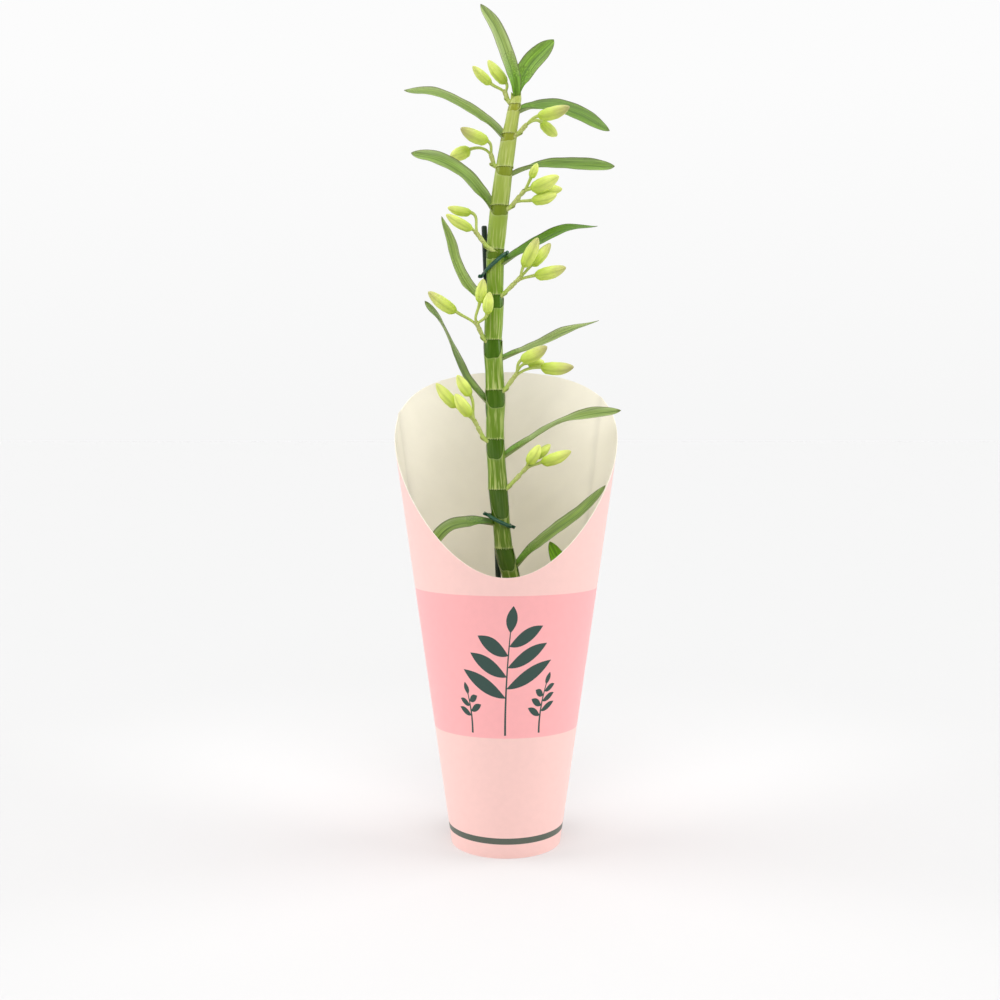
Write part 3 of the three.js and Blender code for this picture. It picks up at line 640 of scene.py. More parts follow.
def grown(name, tree, mesh, **inputs):
    """The plain mesh that a Geometry Nodes tree makes from a source mesh, as one object."""
    holder = show(name + "_source", mesh)
    modifier = holder.modifiers.new("grow", "NODES")
    modifier.node_group = tree
    for item in tree.interface.items_tree:
        if item.in_out == "INPUT" and item.name in inputs:
            modifier[item.identifier] = inputs[item.name]
    graph = bpy.context.evaluated_depsgraph_get()
    result = bpy.data.meshes.new_from_object(holder.evaluated_get(graph))
    bpy.data.objects.remove(holder)
    return show(name, result)


def make_chip_shapes():
    """Splintered chips of a few dozen faces each, hidden away as a collection to pick from."""
    draw = np.random.default_rng(CHIP_SEED)
    shapes = bpy.data.collections.new("chip_shapes")
    for number in range(CHIP_SHAPES):
        points, faces = turned(CHIP_PROFILE, CHIP_SIDES)
        points /= np.abs(points).max(1, keepdims=True) ** CHIP_SQUARENESS
        points[:, :2] *= 1 + draw.uniform(-CHIP_ROUGHNESS, CHIP_ROUGHNESS, (len(points), 1))
        points *= CHIP_SIZE
        points[:, 2] += draw.uniform(-CHIP_WARP, CHIP_WARP, len(points))
        mesh = bpy.data.meshes.new(f"chip_{number}")
        mesh.from_pydata((points * MM).tolist(), [], faces)
        shapes.objects.link(bpy.data.objects.new(f"chip_{number}", mesh))
    return shapes


def make_chip_tree(bark, shapes):
    """Chips scattered over the bed's top, each turned and sized at random."""
    tree, given = new_tree(
        "bark_chips_on_bed",
        ("Spacing", "Float", 0.004),
        ("Field", "Float", 0.04),
        ("Lift", "Float", 0.001),
        ("Seed", "Int", 0),
    )
    where = add(tree, "GeometryNodeInputPosition")
    flat = add(tree, "ShaderNodeVectorMath", (where, (1, 1, 0)), operation="MULTIPLY")
    out = add(tree, "ShaderNodeVectorMath", (flat,), operation="LENGTH").outputs["Value"]
    inside = add(tree, "FunctionNodeCompare", (out, given["Field"]), operation="LESS_THAN")
    normal = add(tree, "GeometryNodeInputNormal")
    up = add(tree, "ShaderNodeSeparateXYZ", (normal,)).outputs["Z"]
    upwards = add(tree, "FunctionNodeCompare", (up, 0.5), operation="GREATER_THAN")
    top = add(tree, "FunctionNodeBooleanMath", (inside, upwards), operation="AND")
    spread = add(tree, "GeometryNodeDistributePointsOnFaces", {
        "Mesh": given["Source"],
        "Selection": top,
        "Distance Min": given["Spacing"],
        "Density Max": CHIP_DENSITY,
        "Seed": given["Seed"],
    }, distribute_method="POISSON")
    raise_by = add(tree, "ShaderNodeCombineXYZ", {"Z": given["Lift"]})
    loose = {"Geometry": spread.outputs["Points"], "Offset": raise_by}
    points = add(tree, "GeometryNodeSetPosition", loose)
    turn = add(tree, "FunctionNodeRandomValue", {
        "Min": (-CHIP_TILT, -CHIP_TILT, 0),
        "Max": (CHIP_TILT, CHIP_TILT, 6.28),
        "Seed": given["Seed"],
    }, data_type="FLOAT_VECTOR")
    turn = add(tree, "FunctionNodeEulerToRotation", (turn,))
    size = add(tree, "FunctionNodeRandomValue", {
        "Min": CHIP_SCALES[0],
        "Max": CHIP_SCALES[1],
        "Seed": given["Seed"],
    }, data_type="FLOAT_VECTOR")
    chips = add(tree, "GeometryNodeCollectionInfo", {
        "Collection": shapes,
        "Separate Children": True,
        "Reset Children": True,
    })
    laid = add(tree, "GeometryNodeInstanceOnPoints", {
        "Points": points,
        "Instance": chips,
        "Pick Instance": True,
        "Rotation": turn,
        "Scale": size,
    })
    real = add(tree, "GeometryNodeRealizeInstances", (laid,))
    done = add(tree, "GeometryNodeSetMaterial", {"Geometry": real, "Material": bark})
    add(tree, "NodeGroupOutput", (done,))
    return tree


def make_bark():
    bark = make_bark_material()
    draw = np.random.default_rng(CHIP_SEED)
    base_radius = POT_BASE_RADIUS - POT_WALL - BARK_GAP
    top_radius = base_radius + (pot_wall_top_radius - POT_BASE_RADIUS) * BARK_TOP / pot_wall_top
    side = [(base_radius + (top_radius - base_radius) * s, BARK_FLOOR + (BARK_TOP - BARK_FLOOR) * s)
            for s in np.linspace(0, 1, 12)]
    top = [(top_radius * s, BARK_TOP + BARK_CROWN * (1 - s)) for s in np.linspace(0.96, 0.04, 24)]
    points, faces = turned([(4, BARK_FLOOR)] + side + top, BARK_SIDES)
    loose = points[:, 2] > BARK_TOP - 0.5
    points[loose, 2] += draw.uniform(*BARK_LOOSE, loose.sum())
    bed = new_piece("bark_bed", [(points, faces)], [bark], sharp=60)
    shapes = make_chip_shapes()
    chips = grown(
        "bark_chips",
        make_chip_tree(bark, shapes),
        bed.data.copy(),
        Spacing=CHIP_SPACING * MM,
        Field=CHIP_FIELD * MM,
        Lift=CHIP_LIFT * MM,
        Seed=CHIP_SEED,
    )
    for shape in list(shapes.objects):
        bpy.data.objects.remove(shape)
    bpy.data.collections.remove(shapes)
    chips.data.set_sharp_from_angle(angle=math.radians(30))
    place(bed, "bark", "bark_mix")
    place(chips, "bark", "bark_mix")


make_bark()


# ---- Roots ----
# Fleshy roots with a spongy silver-white skin, spreading from the cane's woody foot down through
# the bark. They grew as one piece.
CANE_FOOT = (12, 84)  # x of the cane's axis in the pot, height of its lower end
CROWN_PROFILE = (  # depth, radius
    (0, 7.2), (1.5, 8.6), (4, 10.6), (8, 12), (12, 10.8), (16, 7), (18, 2.5),
)
CROWN_MIDDLE = 8
CROWN_HEIGHT = 18
ROOT_COUNT = 6
ROOT_RADIUS = 1.8
ROOT_FIRST_ANGLE = math.radians(33)
ROOT_REACHES = (30, 33, 36)
ROOT_DEPTHS = (50, 59)
ROOT_BEND = 0.7  # a root turns down at about this share of its reach
ROOT_POINTS = 15
ROOT_TAPER = (1.15, 0.2)  # share of the thickness at the crown, and its loss to the tip
ROOT_SWELLS = (0.06, 17)  # share by which it swells and thins, and how often
ROOT_END = (0.92, 0.7, 0.25)  # the last points' share of the thickness
VELAMEN = "CFC9B4"
VELAMEN_STAIN = "97886A"


def make_velamen():
    """Velamen, the roots' spongy skin: matt silver white, stained brown by the bark."""
    made, tree, _ = new_material("velamen_root_skin")
    spot = add(tree, "ShaderNodeTexCoord").outputs["Object"]
    stain = add(tree, "ShaderNodeTexNoise", {"Vector": spot, "Scale": 160, "Detail": 4})
    share = add(tree, "ShaderNodeMapRange", (stain, 0.4, 0.65, 0.0, 1.0))
    tint = add(tree, "ShaderNodeMixRGB", (share, colour(VELAMEN), colour(VELAMEN_STAIN)))
    close_material(tree, {"Base Color": tint, "Roughness": 0.8, "IOR": 1.4}, (stain, 0.4, 0.3))
    return made


def path_mesh(name, paths):
    """A mesh of open lines in mm; each path is its points and, for every point, its radius and tint."""
    mesh = bpy.data.meshes.new(name)
    points = np.vstack([path for path, _, _ in paths]) * MM
    edges, start = [], 0
    for path, _, _ in paths:
        edges.extend((start + step, start + step + 1) for step in range(len(path) - 1))
        start += len(path)
    mesh.from_pydata(points.tolist(), edges, [])
    radii = np.concatenate([radius for _, radius, _ in paths]) * MM
    mesh.attributes.new("thickness", "FLOAT", "POINT").data.foreach_set("value", radii.astype(np.float32))
    tints = np.concatenate([tint for _, _, tint in paths])
    mesh.attributes.new("tint", "FLOAT", "POINT").data.foreach_set("value", tints.astype(np.float32))
    return mesh


def make_stem_tree():
    """Round stems swept along lines, as thick at each point as the line says, with closed ends."""
    tree, given = new_tree("stem_along_line", ("Sides", "Int", 12), ("Substance", "Material", None))
    line = add(tree, "GeometryNodeMeshToCurve", {"Mesh": given["Source"]})
    radius = add(tree, "GeometryNodeInputNamedAttribute", {"Name": "thickness"}, data_type="FLOAT")
    ring = add(tree, "GeometryNodeCurvePrimitiveCircle", {"Resolution": given["Sides"], "Radius": 1.0})
    stem = add(tree, "GeometryNodeCurveToMesh", {
        "Curve": line,
        "Profile Curve": ring,
        "Scale": radius,
        "Fill Caps": True,
    })
    smooth = add(tree, "GeometryNodeSetShadeSmooth", {"Geometry": stem})
    real = add(tree, "GeometryNodeRealizeInstances", (smooth,))
    done = add(tree, "GeometryNodeSetMaterial", {"Geometry": real, "Material": given["Substance"]})
    add(tree, "NodeGroupOutput", (done,))
    return tree


stem_tree = make_stem_tree()


def bezier(corners, shares):
    """Points of the curve that the control points draw, read at shares from 0 to 1."""
    level = [np.outer(np.ones(len(shares)), corner) for corner in corners]
    across = np.array(shares)[:, None]
    while len(level) > 1:
        level = [first * (1 - across) + second * across for first, second in zip(level, level[1:])]
    return level[0]


def make_roots():
    top = CANE_FOOT[1] - 0.3
    shares = np.linspace(0, 1, ROOT_POINTS)
    foot_x = CANE_FOOT[0]
    crown = np.array([(foot_x, 0, top - depth) for depth, _ in CROWN_PROFILE])
    crown_radii = np.array([radius for _, radius in CROWN_PROFILE])
    paths = [(crown, crown_radii, np.zeros(len(crown)))]
    for root in range(ROOT_COUNT):
        angle = ROOT_FIRST_ANGLE + root / ROOT_COUNT * 2 * math.pi
        outwards = np.array([math.cos(angle), math.sin(angle), 0])
        reach = ROOT_REACHES[root % len(ROOT_REACHES)]
        depth = ROOT_DEPTHS[root % len(ROOT_DEPTHS)]
        line = bezier([
            np.array([foot_x, 0, top - CROWN_MIDDLE]),
            np.array([foot_x / 2, 0, top - CROWN_HEIGHT]) + outwards * reach * ROOT_BEND,
            np.array([0, 0, top - depth]) + outwards * reach,
        ], shares)
        taper = ROOT_TAPER[0] - ROOT_TAPER[1] * shares
        radii = ROOT_RADIUS * taper * (1 + ROOT_SWELLS[0] * np.sin(shares * ROOT_SWELLS[1] + root))
        radii[-3:] *= ROOT_END
        paths.append((line, radii, np.zeros(len(line))))
    lines = path_mesh("root_lines", paths)
    roots = grown("roots_fleshy", stem_tree, lines, Sides=14, Substance=make_velamen())
    place(roots, "root", "roots")


make_roots()


# ---- Cane ----
# One jointed stem. Thin striped leaf sheaths wrap it from each joint almost to the next, and
# between a sheath's slanting mouth and the joint above it the bare cane shows as a darker band.
CANE_SIDES = 56
# Joint height, x, height of the bare band below it, cane radius at the band's foot and head, and
# the radius of the sheath above the joint, from the top down.
CANE_JOINTS = (
    (595.5, 6.9, 6, 4.8, 4.3, 4),
    (572.5, 2.5, 6.5, 6, 5.7, 5),
    (546.5, -1.4, 7.5, 6.7, 6.6, 6.4),
    (516.5, -5.3, 8.5, 7.1, 7.1, 7.1),
    (482, -8.7, 8, 6.9, 6.8, 7.2),
    (446, -8.8, 10.5, 7, 6.2, 6.6),
    (410.5, -10.6, 15, 7.5, 6.8, 7.2),
    (370.5, -8.8, 14.5, 7.9, 7.5, 7),
    (331, -8.9, 16, 7.2, 7.1, 7),
    (290.5, -6.5, 23.5, 7.3, 7.8, 7.1),
    (242.5, -1.9, 18, 7.7, 7, 6.6),
    (202, 8.5, 15, 7.8, 7.2, 7),
    (165, 12, 12, 8, 7.5, 7.3),
    (132, 12.5, 10, 8.2, 7.8, 7.6),
    (108, 12, 8, 8.3, 8, 7.9),
)
CANE_TOP = (600, 7.8, 2.6)  # height, x, radius
CANE_SWELL = 0.12  # a bare band bulges by this much
CANE_YOUNG_TO_OLD = (590.0, 200.0)  # the colours run between these heights
SHEATH_STEP = 0.3  # the sheath stands proud of the bare cane by this much
SHEATH_WALL = 0.22
SHEATH_LIPS = (0.22, 0.12)  # its foot and its mouth flare by this much
SHEATH_RAGGED = (0.3, 0.15)  # height of the mouth's slow and quick waves
SHEATH_PAPERY = 0.7  # its edges are papery over this length
SHEATH_PALE = (0.12, 0.4)  # how papery the mouth is at its lowest spot, and what its rise adds
SHEATH_STREAKS = (0.45, 0.55)  # strength of the streaks at the mouth, and what the foot adds
MOUTH_RISE = 0.95  # a sheath covers its band this far up at the sides and the back
MOUTH_SIDES = (0.35, 1.5)  # the mouth rises between these angles from its lowest spot, in radians
MOUTH_CURVE = 2.2  # and gets steeper with this power
MOUTH_NOTCH = (8, 0.16)  # depth and half width in radians of the slit opposite the leaf
MOUTH_TURN = math.radians(12)  # the mouth is lowest this far round from the front, away from its leaf
LEAF_SIDES = (1, 1, -1, -1, 1, -1, 1, -1, 1, -1, 1, -1, 1, -1, 1)  # where each band's leaf stands off
BEAD_SPACING = 1.9
BEAD_SIZE = (0.34, 1.3)  # half width and half height of a bead
BEAD_SEED = 7
BEAD_PALE = "C4CE7C"
BEAD_DARK = "93A048"
CANE_YOUNG = "9CA436"
CANE_GREEN = "4A7010"
CANE_OLD = "3C5A0C"
SHEATH_YOUNG = "B4C05C"
SHEATH_GREEN = "7C9E28"
SHEATH_OLD = "56741A"
SHEATH_VEIN = "CFD888"
SHEATH_PAPER = "E6E2BE"

CANE_VALUES = ("height", "ring_x", "ring_y", "paper", "stretch")

joint_heights = [CANE_TOP[0]] + [joint[0] for joint in CANE_JOINTS]
joint_places = [CANE_TOP[1]] + [joint[1] for joint in CANE_JOINTS]


def cane_x(z):
    return np.interp(z, joint_heights[::-1], joint_places[::-1])


def make_cane_material(name, young, grown_code, old, veins, roughness):
    """Living stem: waxy green skin, yellower where it is young, with veins along it 1.3 mm apart."""
    made, tree, (height, ring_x, ring_y, paper, stretch) = new_material(name, *CANE_VALUES)
    slow = add(tree, "ShaderNodeMath", (height, 0.05), operation="MULTIPLY")
    spot = add(tree, "ShaderNodeCombineXYZ", (ring_x, ring_y, slow))
    age = add(tree, "ShaderNodeMapRange", (height, *CANE_YOUNG_TO_OLD, 0.0, 1.0))
    tint = add(tree, "ShaderNodeValToRGB", {"Fac": age})
    tint.color_ramp.elements[0].color = colour(young)
    tint.color_ramp.elements[1].color = colour(old)
    tint.color_ramp.elements.new(0.36).color = colour(grown_code)
    vein = add(tree, "ShaderNodeTexNoise", {"Vector": spot, "Scale": 0.62, "Detail": 2, "Roughness": 0.6})
    line = add(tree, "ShaderNodeMapRange", (vein, 0.5, 0.62, 0.0, veins))
    line = add(tree, "ShaderNodeMath", (line, stretch), operation="MULTIPLY")
    striped = add(tree, "ShaderNodeMixRGB", (line, tint, colour(SHEATH_VEIN)))
    blotch = add(tree, "ShaderNodeTexNoise", {"Vector": spot, "Scale": 0.12, "Detail": 3})
    shaded = mottled(tree, striped, blotch, 0.84, 1.1)
    edged = add(tree, "ShaderNodeMixRGB", (paper, shaded, colour(SHEATH_PAPER)))
    close_material(tree, {
        "Base Color": edged,
        "Roughness": roughness,
        "IOR": 1.35,
        "Subsurface Weight": 0.12,
        "Subsurface Scale": 0.8 * MM,
        "Subsurface Radius": (1.0, 1.0, 0.3),
    }, (vein, 0.35, 0.25))
    return made


def level_ring(z, radius, paper, stretch=0.5):
    """A ring round the cane's axis; z and the rest may each be one value or one per side."""
    angles = np.arange(CANE_SIDES) / CANE_SIDES * 2 * math.pi
    z, radius, paper, stretch = (np.broadcast_to(part, CANE_SIDES) for part in (z, radius, paper, stretch))
    ring_x = radius * np.cos(angles)
    ring_y = radius * np.sin(angles)
    return np.stack([cane_x(z) + ring_x, ring_y, z, z, ring_x, ring_y, paper, stretch], axis=1)


def make_cane():
    levels = [(CANE_FOOT[1], CANE_JOINTS[-1][3] - 1.5), (CANE_FOOT[1] + 1, CANE_JOINTS[-1][3])]
    for number in range(len(CANE_JOINTS) - 1, -1, -1):
        z, _, band, foot, head, sheath = CANE_JOINTS[number]
        for share in np.linspace(0, 1, 7):
            swell = CANE_SWELL * math.sin(math.pi * share)
            levels.append((z - band * (1 - share), foot + (head - foot) * share + swell))
        if number:
            above = CANE_JOINTS[number - 1]
            levels.append(((z + above[0] - above[2]) / 2, sheath - 0.1))
    levels += [(CANE_TOP[0] - 2, CANE_TOP[2] + 0.6), (CANE_TOP[0], CANE_TOP[2] * 0.75)]
    rings = np.array([level_ring(z, radius, 0) for z, radius in levels])
    bare = make_cane_material("cane_bare_waxy", CANE_YOUNG, CANE_GREEN, CANE_OLD, 0.08, 0.16)
    cane = new_piece("cane_stem", [skin(rings)], [bare], CANE_VALUES, 60)
    place(cane, "cane", "cane")


def make_sheath(low, foot_radius, middle_radius, mouth, mouth_radius, rise, leaf_side):
    """One thin tube from a joint up to its slanting mouth, papery at both edges, split opposite
    its leaf."""
    angles = np.arange(CANE_SIDES) / CANE_SIDES * 2 * math.pi
    slow, quick = SHEATH_RAGGED
    ragged = slow * np.sin(3 * angles + low) + quick * np.sin(7 * angles + 2 * low)
    lowest = -math.pi / 2 - leaf_side * MOUTH_TURN
    from_slit = np.abs((angles if leaf_side > 0 else angles - math.pi) % (2 * math.pi) - math.pi)
    notch = MOUTH_NOTCH[0] * abs(leaf_side) * np.exp(-from_slit / MOUTH_NOTCH[1])
    off = np.abs((angles - lowest + math.pi) % (2 * math.pi) - math.pi)
    side = np.clip((off - MOUTH_SIDES[0]) / (MOUTH_SIDES[1] - MOUTH_SIDES[0]), 0, 1) ** MOUTH_CURVE
    tops = mouth + rise * side + ragged - notch
    pale_edge = abs(leaf_side) * (SHEATH_PALE[0] + SHEATH_PALE[1] * np.sqrt(side))
    shares = np.concatenate([[0, 0.012, 0.035], np.linspace(0.08, 0.9, 12), [0.95, 0.98, 1]])
    outside, inside = [], []
    for share in shares:
        radius = np.interp(share, (0, 0.5, 1), (foot_radius, middle_radius, mouth_radius)) + SHEATH_STEP
        radius += SHEATH_LIPS[0] * math.exp(-share / 0.02) + SHEATH_LIPS[1] * math.exp(-(1 - share) / 0.03)
        paper = 0.15 * math.exp(-share * (mouth - low) / SHEATH_PAPERY)
        paper += pale_edge * math.exp(-(1 - share) * (mouth - low) / SHEATH_PAPERY)
        stretch = SHEATH_STREAKS[0] + SHEATH_STREAKS[1] * math.exp(-share / 0.3)
        z = low + (tops - low) * share
        outside.append(level_ring(z, radius, paper, stretch))
        inside.append(level_ring(z, radius - SHEATH_WALL, paper, stretch))
    return skin(np.array(outside + inside[::-1]), looped=True)


def make_sheaths():
    shells = []
    for number, (z, _, band, foot, _, _) in enumerate(CANE_JOINTS):
        below = CANE_JOINTS[number + 1] if number + 1 < len(CANE_JOINTS) else None
        low = below[0] if below else CANE_FOOT[1] + 1
        foot_radius = below[4] if below else CANE_JOINTS[-1][3] - 0.2
        middle = below[5] if below else CANE_JOINTS[-1][3]
        rise = band * MOUTH_RISE
        shells.append(make_sheath(low, foot_radius, middle, z - band, foot, rise, LEAF_SIDES[number]))
    top = CANE_JOINTS[0]
    shells.append(make_sheath(top[0], top[4], top[5], CANE_TOP[0] + 1, CANE_TOP[2] + 1, 4, 0))
    striped = make_cane_material("leaf_sheath_striped", SHEATH_YOUNG, SHEATH_GREEN, SHEATH_OLD, 0.85, 0.34)
    sheaths = new_piece("cane_sheaths", shells, [striped], CANE_VALUES, 50)
    place(sheaths, "cane", "cane")


def make_bead_tree():
    """Small upright swellings spaced round each joint line, their heights varied at random."""
    tree, given = new_tree(
        "beads_round_joints",
        ("Spacing", "Float", 0.002),
        ("Half Width", "Float", 0.0005),
        ("Half Height", "Float", 0.001),
        ("Seed", "Int", 0),
        ("Substance", "Material", None),
    )
    line = add(tree, "GeometryNodeMeshToCurve", {"Mesh": given["Source"]})
    spaced = {"Curve": line, "Length": given["Spacing"]}
    stops = add(tree, "GeometryNodeResampleCurve", spaced, mode="LENGTH")
    bead = add(tree, "GeometryNodeMeshIcoSphere", {"Radius": 1.0, "Subdivisions": 1})
    vary = add(tree, "FunctionNodeRandomValue", {
        "Min": (0.5, 0.5, 0.2),
        "Max": (1.1, 1.1, 1.5),
        "Seed": given["Seed"],
    }, data_type="FLOAT_VECTOR")
    size = add(tree, "ShaderNodeCombineXYZ", (
        given["Half Width"],
        given["Half Width"],
        given["Half Height"],
    ))
    size = add(tree, "ShaderNodeVectorMath", (size, vary), operation="MULTIPLY")
    laid = add(tree, "GeometryNodeInstanceOnPoints", {"Points": stops, "Instance": bead, "Scale": size})
    real = add(tree, "GeometryNodeRealizeInstances", (laid,))
    smooth = add(tree, "GeometryNodeSetShadeSmooth", {"Geometry": real})
    done = add(tree, "GeometryNodeSetMaterial", {"Geometry": smooth, "Material": given["Substance"]})
    add(tree, "NodeGroupOutput", (done,))
    return tree


def make_dry_scale(name, pale, dark):
    """Drying plant skin: papery, streaked from the pale tint to the dark one, faintly shiny."""
    made, tree, _ = new_material(name)
    spot = add(tree, "ShaderNodeTexCoord").outputs["Object"]
    streak = add(tree, "ShaderNodeTexNoise", {"Vector": spot, "Scale": 700, "Detail": 3})
    share = add(tree, "ShaderNodeMapRange", (streak, 0.35, 0.7, 0.0, 1.0))
    tint = add(tree, "ShaderNodeMixRGB", (share, colour(pale), colour(dark)))
    close_material(tree, {"Base Color": tint, "Roughness": 0.6, "IOR": 1.45}, (streak, 0.4, 0.2))
    return made


def make_beads():
    rings = []
    for z, _, _, _, head, _ in CANE_JOINTS[:-2]:
        ring = level_ring(z + 0.3, head + SHEATH_STEP + 0.05, 0)[:, :3]
        ring = np.vstack([ring, ring[:1]])
        rings.append((ring, np.ones(len(ring)), np.zeros(len(ring))))
    beads = grown(
        "cane_joint_beads",
        make_bead_tree(),
        path_mesh("joint_lines", rings),
        **{"Spacing": BEAD_SPACING * MM, "Half Width": BEAD_SIZE[0] * MM, "Half Height": BEAD_SIZE[1] * MM},
        Seed=BEAD_SEED,
        Substance=make_dry_scale("sheath_foot_papery", BEAD_PALE, BEAD_DARK),
    )
    place(beads, "cane", "cane")


make_cane()
make_sheaths()
make_beads()


# ---- Stake ----
# A straight steel rod with a dark green plastic coat, rounded at the head and blunt at the foot. It
# is pushed into the bark behind the cane and leans a little, as the cane does.
STAKE_RADIUS = 2.3
STAKE_TOP = (-17.6, 8.2, 502)
STAKE_FOOT = (1.8, 15.6, 12)
STAKE_BLUNT = (0.3, 0.75, 0.95)  # thickness of the foot's last rings, as shares
STAKE_HEAD = (1, 0.92, 0.7)  # and of the head's
STAKE_GREEN = "142A20"


def make_stake():
    foot, top = np.array(STAKE_FOOT), np.array(STAKE_TOP)
    shares = np.concatenate([[0, 0.001, 0.003], np.linspace(0.01, 0.99, 60), [0.9975, 0.999, 1]])
    radii = np.full(len(shares), STAKE_RADIUS)
    radii[:3] *= STAKE_BLUNT
    radii[-3:] *= STAKE_HEAD
    line = foot + (top - foot) * shares[:, None]
    coat = make_moulded_plastic("stake_coat_extruded", STAKE_GREEN, 0.4, 0.8)
    lines = path_mesh("stake_line", [(line, radii, np.zeros(len(line)))])
    stake = grown("stake_rod", stem_tree, lines, Sides=28, Substance=coat)
    stake.data.set_sharp_from_angle(angle=math.radians(40))
    place(stake, "stake", "stake")


make_stake()


# ---- Ties ----
# Twist ties: thin soft wire sealed in a flat dark green plastic ribbon, passed once round cane and
# stake, the ends twisted tight.
TIE_RIBBON = (1.5, 0.35)  # half width and half thickness of the ribbon
TIE_OUTLINE = (  # its section in shares of these
    (-1, -0.6), (-1, 0.6), (-0.55, 1), (-0.28, 1), (0, 1), (0.28, 1), (0.55, 1),
    (1, 0.6), (1, -0.6), (0.55, -1), (0.28, -1), (0, -1), (-0.28, -1), (-0.55, -1),
)
TIE_WIRE = 0.35  # the wire lifts the middle of the ribbon by this much
TIE_RIDGE = 0.22  # half width of that ridge, as a share of the ribbon's
TIE_GAP = 1.25  # from the pieces that it holds to the middle of the ribbon
TIE_TWIST_TURNS = 2.2
TIE_POINTS = 40
TAIL_POINTS = 26
TAIL_FACE = (0, 0.3, 0)  # turns a tail's face a little to the back
TIE_GREEN = "21543C"
# Cane's x and radius, height of the ribbon's left and right ends, and the ends of both tails.
TIES = {
    "tie_upper": (-8.5, 6.9, 464.5, 479, (-21.5, 5, 461.5), (1.4, -1.8, 480)),
    "tie_lower": (-5.3, 8.1, 269.5, 260, (-18, -2, 271), (7, -1.5, 259)),
}


def unit(vectors):
    return vectors / np.linalg.norm(vectors, axis=-1, keepdims=True)


def ribbon(points, facing, turns=0):
    """A flat ribbon with the wire's ridge along it; facing is its face's direction at each point."""
    along = unit(np.gradient(points, axis=0))
    facing = unit(facing - along * (facing * along).sum(1, keepdims=True))
    side = np.cross(along, facing)
    half_width, half = TIE_RIBBON
    rings = []
    for step, centre in enumerate(points):
        turn = turns * 2 * math.pi * step / (len(points) - 1)
        width_way = side[step] * math.cos(turn) + facing[step] * math.sin(turn)
        face_way = facing[step] * math.cos(turn) - side[step] * math.sin(turn)
        ring = []
        for across, up in TIE_OUTLINE:
            lift = up * half + math.copysign(TIE_WIRE, up) * math.exp(-((across / TIE_RIDGE) ** 2))
            ring.append(centre + width_way * across * half_width + face_way * lift)
        rings.append(ring)
    return skin(np.array(rings))


def make_tie(name, cane, radius, left, right, tail_left, tail_right, coat):
    middle = (left + right) / 2
    share = (middle - STAKE_FOOT[2]) / (STAKE_TOP[2] - STAKE_FOOT[2])
    stake = np.array(STAKE_FOOT) + (np.array(STAKE_TOP) - np.array(STAKE_FOOT)) * share
    circles = [
        (np.array([cane, 0]), radius + SHEATH_STEP + TIE_GAP),
        (stake[:2], STAKE_RADIUS + TIE_GAP),
    ]
    slope = (right - left) / (2 * circles[0][1])
    shells = []
    for start, tail in ((math.pi, tail_left), (0, tail_right)):
        points, outwards = [], []
        for step in range(TIE_POINTS + 1):
            angle = start + step / TIE_POINTS * math.pi
            outward = np.array([math.cos(angle), math.sin(angle)])
            centre, reach = max(circles, key=lambda circle: circle[0] @ outward + circle[1])
            spot = centre + outward * reach
            points.append((*spot, middle + slope * (spot[0] - cane)))
            outwards.append((*outward, 0))
        points, outwards = np.array(points), np.array(outwards)
        shells.append(ribbon(points, outwards))
        line = np.linspace(points[0], np.array(tail), TAIL_POINTS)
        facing = np.tile(outwards[0] + TAIL_FACE, (TAIL_POINTS, 1))
        shells.append(ribbon(line, facing, TIE_TWIST_TURNS))
    tie = new_piece(name + "_ribbon", shells, [coat], sharp=50)
    place(tie, "tie_wire", name)


tie_coat = make_moulded_plastic("tie_ribbon_soft_pvc", TIE_GREEN, 0.35, 0.5)
for tie_name, tie_sizes in TIES.items():
    make_tie(tie_name, *tie_sizes, tie_coat)


# ---- Leaves ----
# Fourteen soft blades, one from the mouth of each sheath: folded along the midrib, tightest at the
# foot where they clasp the cane, with many fine veins side by side and a thin darker margin.
LEAF_STEPS = 64
LEAF_COLUMNS = 10  # on each side of the midrib
LEAF_WIDEST = 0.42
LEAF_END = 0.72  # how suddenly a blade closes at its tip
LEAF_TIP_HALF = 0.35
LEAF_THICKNESS = ((0, 0.12, 1), (0.55, 0.34, 0.22))  # share of the way to the margin, mm there
LEAF_RIB_DROP = 0.28  # depth of the midrib below the middle line, as a share of the half width
LEAF_FOLD = ((0, 0.06, 0.3, 0.85, 1), (62, 50, 17, 17, 9))  # share of the length, a half's slope there
LEAF_BOW = 0.16  # hollow of each half, as a share of its width
LEAF_CLASP = 0.045  # share of the length over which the foot loses the cane's roundness
LEAF_CLASP_RADIUS = 7
LEAF_WAVE = 0.02  # height of the margin's waves, as a share of the half width
LEAF_WAVES = (0.19, 0.43)  # slow and quick waves, in radians per mm
LEAF_QUICK = 0.6  # height of the quick ones against the slow ones
EASE_REACH = 0.14  # share of the length over which the roll is evened out, to either side
LEAF_VEINS = 11
LEAF_BRIGHT = "76AA1A"
LEAF_SHEEN_GREEN = "A0B65E"
LEAF_UNDER = "AABC74"
LEAF_PALE_VEIN_AND_SHEEN = "CDD6A2"
LEAF_MARGIN = "6A6440"
LEAF_FOOT = "AEC648"
LEAF_RIB = "2F5A14"
LEAF_GLOW = "8CC42A"  # light that comes through the blade
LEAF_VALUES = ("across", "out_mm", "along", "share", "painted_sheen", "painted_lightness", "upper")
